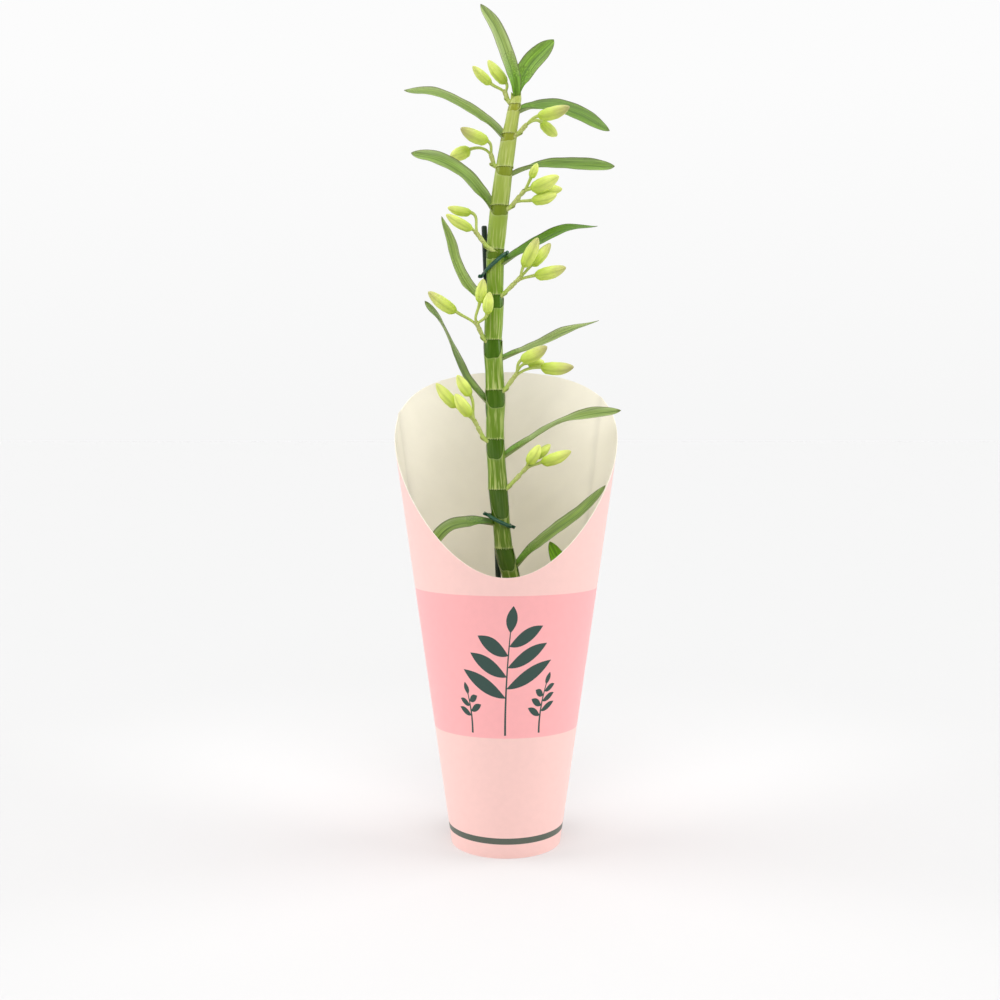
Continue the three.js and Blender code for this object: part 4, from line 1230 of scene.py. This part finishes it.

# Points of the midrib from the cane to the tip, width, the foot's share of it, roll of the blade in
# degrees at each point (0 faces the front), how dull the green is from 0 to 1 as painted sheen (a
# paler, greyer green), how blunt the tip is, the share of the length up to which the foot is greener,
# and a painted lightness that makes this leaf lighter or darker for how the light falls on it.
LEAVES = (
    (((7.5, -1, 597), (6.2, -2.5, 616), (0.2, -4, 635), (-8, -6, 654), (-20, -10, 669.5)),
     14, 0.5, (-25, -30, -30, -30, -30), 1, 4.6, 0.5, 1.12),
    (((9, 3.5, 597), (10.5, 5.5, 614), (19, 6.5, 629), (29, 8, 639.5), (38, 10, 648.5)),
     16.5, 0.25, (30, 20, 8, 4, 8), 0.3, 3, 0.46, 1.12),
    (((6.6, 0, 588), (19, 2, 594.5), (36.5, 4, 596.5), (57, 4, 590.5), (82, 0, 575)),
     17, 0.45, (65, 55, 42, 30, 35), 0.2, 5.5, 0.3, 0.9),
    (((1.8, 0, 565), (-14.5, -2, 582.5), (-32, -4, 594), (-56, -8, 603.5), (-80, -10, 604)),
     16, 0.55, (-50, -52, -52, -52, -55), 0.75, 8, 0.08, 0.98),
    (((-6.4, 0, 505), (-19, -3, 526), (-32.5, -7, 541), (-54.5, -12, 552), (-74.5, -14, 555)),
     17, 0.5, (-50, -50, -46, -42, -50), 0.65, 8, 0.1, 1),
    (((-1.6, 0, 538), (17.5, 4, 548), (36, 8, 551.5), (61.5, 10, 551.5), (87, 8, 549)),
     16, 0.4, (82, 76, 48, 39, 42), 0.4, 8, 0.2, 0.95),
    (((-8.6, -1.5, 466), (9.5, 0.5, 480), (25.5, 5, 490), (48, 8, 500.5), (74, 12, 502.5)),
     16, 0.5, (60, 60, 52, 54, 75), 0, 3.4, 0.3, 0.78),
    (((-10.1, 0, 433), (-28.5, 0, 452), (-39, -3, 471.5), (-44, -6, 489), (-51, -8, 507)),
     16, 0.6, (-50, -52, -58, -60, -66), 1, 4, 0.15, 1.28),
    (((-9, 0, 353), (-28.5, 3, 376.5), (-39, 6, 397.5), (-50, 8, 423), (-65.5, 6, 442)),
     14, 0.5, (-60, -60, -66, -98, -30), 0.7, 4.6, 0.2, 0.82),
    (((-9.6, 0, 392), (10.5, 3, 402), (27.5, 7, 409), (48, 12, 419), (76, 20, 427.5)),
     14, 0.5, (62, 72, 60, 50, 80), 1, 3, 0.3, 0.95),
    (((-7.6, 0, 312), (11.5, 2, 326), (28.5, 4, 338), (43.8, 5, 346), (68, 3, 352), (92.7, 0, 354)),
     16, 0.5, (68, 72, 78, 84, 48, 40), 0.85, 4.6, 0.3, 1),
    (((-5, 0, 261), (-27.5, -4, 264.5), (-45, -10, 262), (-55.5, -14, 252.5), (-62.5, -16, 230)),
     16, 0.5, (-68, -60, -54, -50, -50), 0.6, 4.6, 0.3, 0.76),
    (((3.5, 0, 221), (22, 0, 243), (40, 0, 258), (61, 2, 273.5), (81, 6, 293)),
     16, 0.45, (68, 64, 60, 60, 62), 0.65, 4.6, 0.3, 0.84),
    (((11, 0, 151), (28, 4, 172), (41, 8, 196), (45, 9, 224), (36, 9, 246.5)),
     16, 0.5, (40, 40, 30, 10, 0), 0, 4.6, 0.3, 1.5),
)


def through(points, shares):
    """Points of the smooth (centripetal Catmull-Rom) curve through the given points."""
    points = np.array(points, dtype=float)
    padded = np.vstack([2 * points[0] - points[1], points, 2 * points[-1] - points[-2]])
    line = []
    for share in shares:
        spot = share * (len(points) - 1)
        first = min(int(spot), len(points) - 2)
        before, start, end, after = padded[first:first + 4]
        span_before, span, span_after = (
            math.sqrt(np.linalg.norm(b - a)) for a, b in ((before, start), (start, end), (end, after))
        )
        ahead = (end - start) / span
        leave = (start - before) / span_before - (end - before) / (span_before + span) + ahead
        arrive = ahead - (after - start) / (span + span_after) + (after - end) / span_after
        leave, arrive = leave * span, arrive * span
        step = spot - first
        line.append(
            start + leave * step
            + (3 * (end - start) - 2 * leave - arrive) * step ** 2
            + (2 * (start - end) + leave + arrive) * step ** 3
        )
    return np.array(line)


def make_leaf_material():
    """Leaf tissue: waxy green over pale, light comes through it, veins about 0.7 mm apart. Its colour
    carries painted sheen, paler and greyer on duller leaves, and a painted lightness per leaf.
    """
    made, tree, values = new_material("leaf_blade_living", *LEAF_VALUES)
    across, out_mm, along, tip, painted_sheen, painted_lightness, upper = values
    slow = add(tree, "ShaderNodeMath", (along, 0.035), operation="MULTIPLY")
    apart = add(tree, "ShaderNodeMath", (painted_sheen, 31.0), operation="MULTIPLY")
    spot = add(tree, "ShaderNodeCombineXYZ", (out_mm, slow, apart))
    streak = add(tree, "ShaderNodeTexNoise", {"Vector": spot, "Scale": 0.9, "Detail": 4})
    angle = add(tree, "ShaderNodeMath", (across, LEAF_VEINS * math.pi), operation="MULTIPLY")
    wave = add(tree, "ShaderNodeMath", (angle,), operation="COSINE")
    vein = add(tree, "ShaderNodeMapRange", (wave, 0.6, 1.0, 0.0, 1.0))
    out = add(tree, "ShaderNodeMath", (across,), operation="ABSOLUTE")
    rib = add(tree, "ShaderNodeMapRange", (out, 0.0, 0.09, 1.0, 0.0))
    edge = add(tree, "ShaderNodeMapRange", (out, 0.87, 0.97, 0.0, 0.8))
    # Painted sheen: a duller leaf is painted paler toward its margins.
    flush = add(tree, "ShaderNodeMapRange", (out, 0.45, 0.92, 0.0, 0.55))
    flush = add(tree, "ShaderNodeMath", (flush, painted_sheen), operation="MULTIPLY")
    end = add(tree, "ShaderNodeMapRange", (tip, 0.965, 1.0, 0.0, 0.7))
    # Painted sheen: the duller the leaf, the paler and greyer its green is painted.
    green = add(tree, "ShaderNodeMixRGB", (painted_sheen, colour(LEAF_BRIGHT), colour(LEAF_SHEEN_GREEN)))
    faint = add(tree, "ShaderNodeMath", (painted_sheen, 0.3, 0.07), operation="MULTIPLY_ADD")
    share = add(tree, "ShaderNodeMath", (vein, faint, flush), operation="MULTIPLY_ADD")
    green = add(tree, "ShaderNodeMixRGB", (share, green, colour(LEAF_PALE_VEIN_AND_SHEEN)))
    green = mottled(tree, green, streak, 0.58, 1.38)
    crease = add(tree, "ShaderNodeMath", (rib, 0.6), operation="MULTIPLY")
    green = add(tree, "ShaderNodeMixRGB", (crease, green, colour(LEAF_RIB)))
    raised = add(tree, "ShaderNodeMath", (vein, 0.25), operation="MULTIPLY")
    under = add(tree, "ShaderNodeMixRGB", (raised, colour(LEAF_UNDER), colour(LEAF_PALE_VEIN_AND_SHEEN)))
    both = add(tree, "ShaderNodeMixRGB", (upper, under, green))
    young = add(tree, "ShaderNodeMapRange", (tip, 0.0, 0.1, 0.75, 0.0))
    both = add(tree, "ShaderNodeMixRGB", (young, both, colour(LEAF_FOOT)))
    rim = add(tree, "ShaderNodeMath", (edge, end), operation="MAXIMUM")
    final = add(tree, "ShaderNodeMixRGB", (rim, both, colour(LEAF_MARGIN)))
    # Painted light and shade: each leaf's colour is scaled lighter or darker for how the light falls on it.
    final = add(tree, "ShaderNodeVectorMath", {0: final, 3: painted_lightness}, operation="SCALE")
    height = add(tree, "ShaderNodeMath", (vein, streak), operation="ADD")
    gloss = add(tree, "ShaderNodeMapRange", (upper, 0.0, 1.0, 0.55, 0.38))
    lit = add(tree, "ShaderNodeMixRGB", (0.5, final, colour(LEAF_GLOW)))
    close_material(tree, {
        "Base Color": final,
        "Roughness": gloss,
        "IOR": 1.45,
        "Coat Weight": 0.15,
        "Coat Roughness": 0.25,
    }, (height, 0.4, 0.15), (lit, 0.3))
    return made


def eased(values, shares):
    """Values spaced evenly along a length, read at shares of it, with the corners rounded off."""
    reach = np.linspace(-EASE_REACH, EASE_REACH, 15)
    spots = np.clip(np.add.outer(np.array(shares), reach), 0, 1)
    weights = np.cos(reach / EASE_REACH * math.pi / 2) ** 2 + 0.01
    return (np.interp(spots, np.linspace(0, 1, len(values)), values) * weights).sum(1) / weights.sum()


def leaf_half_width(shares, width, foot, bluntness):
    inner = foot + (1 - foot) * np.sin(np.minimum(shares / LEAF_WIDEST, 1) * math.pi / 2)
    outer = np.clip((shares - LEAF_WIDEST) / (1 - LEAF_WIDEST), 0, 1)
    outer = (1 - outer ** bluntness) ** LEAF_END
    return np.maximum(width / 2 * np.where(shares < LEAF_WIDEST, inner, outer), LEAF_TIP_HALF)


def make_leaf(number, spine, width, foot, rolls, painted_sheen, bluntness, green_foot, painted_lightness, tissue):
    shares = np.concatenate([np.linspace(0, 0.96, LEAF_STEPS), [0.97, 0.98, 0.988, 0.994, 0.998, 1]])
    middle = through(spine, shares)
    along = unit(np.gradient(middle, shares, axis=0))
    travelled = np.concatenate([[0], np.cumsum(np.linalg.norm(np.diff(middle, axis=0), axis=1))])
    roll = np.radians(eased(rolls, shares))[:, None]
    depth = unit(np.array([0, 1, 0]) - along * along[:, 1:2])
    in_view = np.cross(along, depth)
    side = in_view * np.cos(roll) + depth * np.sin(roll)
    face = np.cross(along, side)
    halves = leaf_half_width(shares, width, foot, bluntness)
    slopes = np.radians(np.interp(shares, *LEAF_FOLD))
    clasp = np.exp(-((shares / LEAF_CLASP) ** 2))
    columns = np.linspace(-1, 1, 2 * LEAF_COLUMNS + 1)
    columns = np.sign(columns) * np.abs(columns) ** 0.85
    rings = []
    for step, share in enumerate(shares):
        half, slope = halves[step], slopes[step]
        reach = np.abs(columns) * half
        bow = LEAF_BOW * half * (columns ** 2 - np.abs(columns))
        flat_side = np.sign(columns) * reach * math.cos(slope)
        flat_rise = reach * math.sin(slope) + bow
        turn = reach / LEAF_CLASP_RADIUS
        round_side = np.sign(columns) * LEAF_CLASP_RADIUS * np.sin(turn)
        round_rise = LEAF_CLASP_RADIUS * (1 - np.cos(turn))
        slow, quick = (travelled[step] * pace for pace in LEAF_WAVES)
        waves = np.sin(slow + number * 2 + columns * 1.3)
        waves = waves + LEAF_QUICK * np.sin(quick + number + 2 * columns)
        waves = waves * LEAF_WAVE * half * np.abs(columns) ** 1.5 * min(share / 0.15, 1)
        sideways = flat_side * (1 - clasp[step]) + round_side * clasp[step]
        rise = flat_rise * (1 - clasp[step]) + round_rise * clasp[step] - LEAF_RIB_DROP * half + waves
        thick = np.interp(np.abs(columns), *LEAF_THICKNESS)
        thick = np.minimum(thick, half) * np.sqrt(np.clip(1.04 - np.abs(columns) ** 6, 0, 1))
        centre = middle[step] + side[step] * sideways[:, None] + face[step] * rise[:, None]
        lift = face[step] * thick[:, None] / 2
        values = np.stack([
            columns,
            columns * half,
            np.full(len(columns), travelled[step]),
            np.full(len(columns), share),
            np.full(len(columns), painted_sheen * np.interp(share, (green_foot / 2, green_foot), (0.1, 1))),
            np.full(len(columns), painted_lightness),
        ], axis=1)
        up = np.hstack([centre + lift, values, np.ones((len(columns), 1))])
        down = np.hstack([centre - lift, values, np.zeros((len(columns), 1))])
        rings.append(np.vstack([up, down[::-1]]))
    blade = new_piece(f"leaf_blade_{number:02}", [skin(np.array(rings))], [tissue], LEAF_VALUES, 70)
    place(blade, "leaf", f"leaf_{number:02}")


leaf_tissue = make_leaf_material()
for leaf_number, leaf_sizes in enumerate(LEAVES, 1):
    make_leaf(leaf_number, *leaf_sizes, leaf_tissue)


# ---- Flower stalks ----
# Short green stalks that broke out of the cane at the joints, with thin pale bracts along them, each
# carrying two to four buds on curved pedicels that thicken below the bud.
STALK_RADIUS = 1.6
STALK_TAPER = (1.12, 0.3)  # share of the thickness at the foot, and its loss to the end
STALK_NODES = (0.35, 0.7)  # the stalk is thicker at these shares of its length
STALK_NODE_SWELL = 0.22
STALK_POINTS = 13
PEDICEL_POINTS = 17
PEDICEL_BROWN = 0.12  # share of the stalk foot's brown in a pedicel's colour
PEDICEL_RADIUS = 1.1
OVARY_RADIUS = 1.5
PEDICEL_BEND = 0.4
PEDICEL_LAST = 0.98  # the last pedicel leaves at this share of the stalk
PEDICEL_SINK = 1.5  # and ends this far past the gap below its bud, inside the bud
BUD_GAP = 0.3
STALK_GREEN = "BCD066"
STALK_FOOT_BROWN = "A68C54"
BRACT_LENGTH = 7
BRACT_SMALL = 0.6  # length of a pedicel's bract, against the stalk's
BRACT_SPOTS = ((0.02, 1), (0.36, -1), (0.7, 1))  # share of the stalk, side
BRACT_WRAP = math.radians(150)  # half of the turn that its foot makes round the stalk
BRACT_TIP = math.radians(6)  # and that is left at its tip
BRACT_OPENING = 0.35  # the tip stands off by this share of the radius
BRACT_WALL = 0.14
BRACT_SIDE = np.array([0, -1, 0.2])
BRACT_PALE = "C9D67E"
BRACT_DARK = "ACAE5E"
# Path of each stalk from the cane, and for each bud the share of the path where its pedicel
# leaves, its base, its tip, its radius and how flushed its tip is from 0 to 1.
FLOWER_STALKS = {
    "a": (((6, 0, 593), (2, 0, 598), (-0.5, 0, 603.5)), (
        (1, (-12, -2, 611), (-26.5, -4, 624), 3.9, 0.5),
        (0.9, (0, 3, 613), (-14.5, 5, 631), 4.6, 0.3),
    )),
    "b": (((2.5, -2, 568), (8.5, -3, 571.5), (14.5, -5, 577)), (
        (1, (25, -11, 584), (49.5, -15, 590), 5.1, 1),
        (0.8, (28, 3, 582.5), (41, 15, 574.5), 4.4, 0.2),
    )),
    "c": (((-2, 0, 544), (-9, 0, 548), (-11.5, -1, 554.5)), (
        (1, (-14.5, -5, 566), (-36, -9, 575), 5.2, 1),
        (0.85, (-29, 6, 562), (-45, 9, 556.5), 5.4, 0.3),
    )),
    "d": (((-4, -2, 511), (3, -2.5, 515), (13, -4, 526)), (
        (1, (19.5, -8, 528.5), (41.5, -12, 537.5), 5.5, 0.3),
        (0.95, (21.5, 2, 531), (45, 6, 530.5), 4.9, 0.3),
        (0.6, (20.5, -5, 520), (40, -7, 524), 4.6, 0.2),
        (1, (19.5, -5, 537.5), (24.5, -8.5, 548), 3.3, 0.1),
    )),
    "e": (((-7, -5, 479), (-14, -5.5, 483), (-23.5, -7, 494)), (
        (1, (-27, -8, 497), (-47.5, -11, 508), 4.2, 0.4),
        (0.9, (-28, -2, 511), (-46.5, -4, 514.5), 3.9, 0.4),
    )),
    "f": (((-8, -2, 442), (-3, -3, 446), (10, -7, 458)), (
        (1, (13.5, -10, 467.5), (25, -14, 489.5), 5.3, 0.8),
        (0.95, (20, -2, 469.5), (35.5, 0, 487), 4.6, 0.8),
        (0.85, (23, -7, 461), (47.5, -9, 467), 5.2, 0.8),
    )),
    "g": (((-11, -2, 405), (-17, -3, 410.5), (-23.5, -6, 423)), (
        (0.8, (-40, -6, 432.5), (-62, -8, 448), 5.1, 0.8),
        (1, (-21, -11, 439), (-18, -14, 457.5), 4.6, 0.6),
        (0.9, (-15, -15, 430), (-13, -18, 447), 4.4, 0.5),
    )),
    "h": (((-8, -2, 366), (-2, -3, 370), (7.5, -6, 382)), (
        (1, (12, -10, 394), (32.5, -14, 404.5), 5.4, 1),
        (0.9, (17.5, 0, 392), (31, 3, 392.5), 4.4, 0.3),
        (0.8, (28, -6, 388.5), (54, -8, 388.5), 5.4, 1),
    )),
    "i": (((-9, -2, 326), (-17, -3, 331), (-25, -6, 345)), (
        (0.9, (-39.5, -6, 357), (-56, -8, 375.5), 4.8, 0.4),
        (0.95, (-28, -12, 350), (-40.5, -16, 367), 5.2, 0.3),
        (1, (-28.5, -9, 366), (-39, -12, 382), 4.6, 0.4),
    )),
    "j": (((-6, -2, 285), (2, -3, 292.5), (16.5, -6, 308)), (
        (1, (17.5, -8.5, 311.5), (27, -11, 326.5), 4.8, 0.2),
        (0.9, (28.5, -8, 312.5), (52, -10, 321.5), 5, 0.5),
        (0.95, (23.5, 0, 316), (36, 3, 326.5), 3.8, 0.3),
    )),
}


def make_stalk_material():
    """Juicy stalk: pale green, browner towards the cane, smooth and slightly glossy."""
    made, tree, (age,) = new_material("flower_stalk_skin", "tint")
    spot = add(tree, "ShaderNodeTexCoord").outputs["Object"]
    cloud = add(tree, "ShaderNodeTexNoise", {"Vector": spot, "Scale": 500, "Detail": 3})
    tint = add(tree, "ShaderNodeMixRGB", (age, colour(STALK_GREEN), colour(STALK_FOOT_BROWN)))
    tinted = mottled(tree, tint, cloud, 0.88, 1.08)
    close_material(tree, {
        "Base Color": tinted,
        "Roughness": 0.42,
        "IOR": 1.45,
        "Subsurface Weight": 0.25,
        "Subsurface Scale": 0.8 * MM,
        "Subsurface Radius": (1.0, 1.0, 0.4),
    })
    return made


def make_bract(foot, direction, away, length, radius):
    """One papery scale: a thin pointed half sleeve that hugs the stalk on the side away."""
    along = unit(np.array(direction, dtype=float))
    away = unit(np.array(away, dtype=float) - along * (np.array(away) @ along))
    side = np.cross(along, away)
    rings = []
    for share in np.linspace(0, 1, 9):
        spread = BRACT_WRAP * (1 - share ** 1.6) + BRACT_TIP
        open_up = radius * (1 + BRACT_OPENING * share ** 2)
        turns = np.linspace(-spread, spread, 13)
        centre = foot + along * length * share
        hug = np.outer(np.cos(turns), away) + np.outer(np.sin(turns), side)
        rings.append(np.vstack([centre + hug * open_up, (centre + hug * (open_up - BRACT_WALL))[::-1]]))
    return skin(np.array(rings))


def make_stalk(letter, path, buds, green, papery):
    shares = np.linspace(0, 1, STALK_POINTS)
    radii = STALK_RADIUS * (STALK_TAPER[0] - STALK_TAPER[1] * shares)
    for node in STALK_NODES:
        radii = radii + STALK_NODE_SWELL * np.exp(-(((shares - node) / 0.06) ** 2))
    lines = [(through(path, shares), radii, np.clip(1 - shares / STALK_NODES[0], 0, 1))]
    bracts = []
    for share, turn in BRACT_SPOTS:
        foot, beyond = through(path, (share, share + 0.05))
        bracts.append(make_bract(foot, beyond - foot, BRACT_SIDE * turn, BRACT_LENGTH, STALK_RADIUS + 0.2))
    steps = np.linspace(0, 1, PEDICEL_POINTS)
    pedicel_radii = PEDICEL_RADIUS + (OVARY_RADIUS - PEDICEL_RADIUS) * steps ** 4
    for at, base, tip, _, _ in buds:
        at = min(at, PEDICEL_LAST)
        axis = unit(np.array(tip, dtype=float) - base)
        before, start, beyond = through(path, (at - 0.02, at, at + 0.02))
        leaving = unit(beyond - before)
        end = np.array(base) - axis * BUD_GAP
        reach = np.linalg.norm(end - start) * PEDICEL_BEND
        corners = [start, start + leaving * reach, end - axis * reach, end + axis * PEDICEL_SINK]
        lines.append((bezier(corners, steps), pedicel_radii, np.full(PEDICEL_POINTS, PEDICEL_BROWN)))
        foot = start - leaving * 0.6
        bracts.append(make_bract(foot, leaving, BRACT_SIDE, BRACT_LENGTH * BRACT_SMALL, STALK_RADIUS + 0.1))
    node = f"flower_stalk_{letter}"
    mesh = path_mesh("stalk_lines", lines)
    place(grown(f"stalk_{letter}_stem", stem_tree, mesh, Sides=14, Substance=green), "flower_stalk", node)
    place(new_piece(f"stalk_{letter}_bracts", bracts, [papery], sharp=60), "flower_stalk", node)


stalk_green = make_stalk_material()
bract_papery = make_dry_scale("bract_papery", BRACT_PALE, BRACT_DARK)
for letter, (stalk_path, stalk_buds) in FLOWER_STALKS.items():
    make_stalk(letter, stalk_path, stalk_buds, stalk_green, bract_papery)


# ---- Buds ----
# Closed flower buds: three sepals meet edge to edge and point forward, and the two lower ones bulge
# into a rounded chin at the base. Pale yellow green, some tips already dusky.
BUD_SIDES = 42
BUD_RINGS = 26
BUD_PROFILE = (  # shares of the length, and the shares of the radius there
    (0, 0.04, 0.13, 0.34, 0.6, 0.78, 0.9, 0.97, 1),
    (0.3, 0.5, 0.78, 1, 0.97, 0.76, 0.5, 0.27, 0.06),
)
BUD_SEAM = 0.05  # depth of the grooves between sepals, as a share of the radius
BUD_SEAM_WIDTH = 0.17  # in radians
BUD_CHIN = 0.17  # depth of the chin, as a share of the radius
BUD_CHIN_SPOT = (0.1, 0.13)  # its middle and its reach along the bud, as shares
BUD_TWIST = (0.25, 2.4)  # the chin swings by this much, in radians, from bud to bud at this pace
BUD_KEEL = 0.05  # the sepals' middles stand out by this share of the radius
BUD_DROOP = 0.035  # sag of the middle, as a share of the length
BUD_PALE = "E8F280"
BUD_GREEN = "BCD448"
BUD_GROOVE = "97B040"
BUD_FLUSH = "A2966C"
BUD_VALUES = ("share", "seam", "flush", "turn", "number")


def make_bud_material():
    """Sepal tissue: pale, moist and slightly see-through, with veins 0.9 mm apart from base to tip."""
    made, tree, (share, seam, flush, turn, number) = new_material("sepal_tissue_pale", *BUD_VALUES)
    angle = add(tree, "ShaderNodeMath", (turn, 24.0), operation="MULTIPLY")
    wave = add(tree, "ShaderNodeMath", (angle,), operation="COSINE")
    vein = add(tree, "ShaderNodeMapRange", (wave, 0.3, 1.0, 0.0, 0.22))
    stretch = add(tree, "ShaderNodeMath", (share, 1.2), operation="MULTIPLY")
    spot = add(tree, "ShaderNodeCombineXYZ", (turn, stretch, number))
    cloud = add(tree, "ShaderNodeTexNoise", {"Vector": spot, "Scale": 2.2, "Detail": 3})
    body = add(tree, "ShaderNodeValToRGB", {"Fac": share})
    body.color_ramp.elements[0].color = colour(BUD_GREEN)
    body.color_ramp.elements[1].position = 0.75
    body.color_ramp.elements[1].color = colour(BUD_PALE)
    veined = add(tree, "ShaderNodeMixRGB", (vein, body, colour(BUD_GREEN)))
    groove = add(tree, "ShaderNodeMath", (seam, 0.35), operation="MULTIPLY")
    lined = add(tree, "ShaderNodeMixRGB", (groove, veined, colour(BUD_GROOVE)))
    start = add(tree, "ShaderNodeMath", (flush, -0.35, 0.8), operation="MULTIPLY_ADD")
    reach = add(tree, "ShaderNodeMapRange", (share, start, 1.0, 0.0, 0.85))
    dusky = add(tree, "ShaderNodeMath", (reach, flush), operation="MULTIPLY")
    tipped = add(tree, "ShaderNodeMixRGB", (dusky, lined, colour(BUD_FLUSH)))
    final = mottled(tree, tipped, cloud, 0.9, 1.06)
    close_material(tree, {
        "Base Color": final,
        "Roughness": 0.38,
        "IOR": 1.4,
        "Subsurface Weight": 0.35,
        "Subsurface Scale": 1.6 * MM,
        "Subsurface Radius": (1.0, 1.0, 0.45),
    }, (vein, 0.2, 0.15))
    return made


def make_bud(name, number, base, tip, radius, flush, tissue):
    base, tip = np.array(base, dtype=float), np.array(tip, dtype=float)
    axis = unit(tip - base)
    sideways = unit(np.cross((0, 1, 0), axis))
    upwards = np.cross(axis, sideways)
    # The chin hangs on the bud's lower side.
    low = math.atan2(-upwards[2], -sideways[2]) + BUD_TWIST[0] * math.sin(number * BUD_TWIST[1])
    angles = np.arange(BUD_SIDES) / BUD_SIDES * 2 * math.pi
    length = np.linalg.norm(tip - base)
    rings = []
    for share in (1 - np.cos(np.linspace(0, math.pi, BUD_RINGS))) / 2:
        size = np.interp(share, *BUD_PROFILE)
        from_seam = (angles - low + math.pi / 3) % (2 * math.pi / 3) - math.pi / 3
        from_seam = np.abs(np.abs(from_seam) - math.pi / 3)
        seam = np.exp(-((from_seam / BUD_SEAM_WIDTH) ** 2)) * min(share / 0.15, 1)
        facing = np.clip(np.cos(angles - low), 0, 1)
        chin = BUD_CHIN * math.exp(-(((share - BUD_CHIN_SPOT[0]) / BUD_CHIN_SPOT[1]) ** 2)) * facing ** 2
        keel = BUD_KEEL * np.cos(3 * (angles - low)) * math.sin(math.pi * share)
        radii = radius * (size * (1 - BUD_SEAM * seam + keel) + chin)
        droop = -BUD_DROOP * length * math.sin(math.pi * share)
        centre = base + axis * length * share + (0, 0, droop)
        ring = centre + np.outer(np.cos(angles) * radii, sideways)
        ring = ring + np.outer(np.sin(angles) * radii, upwards)
        values = np.stack([
            np.full(BUD_SIDES, share),
            seam,
            np.full(BUD_SIDES, flush),
            (angles - low + math.pi) % (2 * math.pi) - math.pi,
            np.full(BUD_SIDES, float(number)),
        ], axis=1)
        rings.append(np.hstack([ring, values]))
    sepals = new_piece(name + "_sepals", [skin(np.array(rings))], [tissue], BUD_VALUES, 80)
    place(sepals, "bud", name)


sepal_tissue = make_bud_material()
bud_number = 0
for letter, (_, stalk_buds) in FLOWER_STALKS.items():
    for in_turn, (_, *bud_sizes) in enumerate(stalk_buds, 1):
        bud_number += 1
        make_bud(f"bud_{letter}{in_turn}", bud_number, *bud_sizes, sepal_tissue)
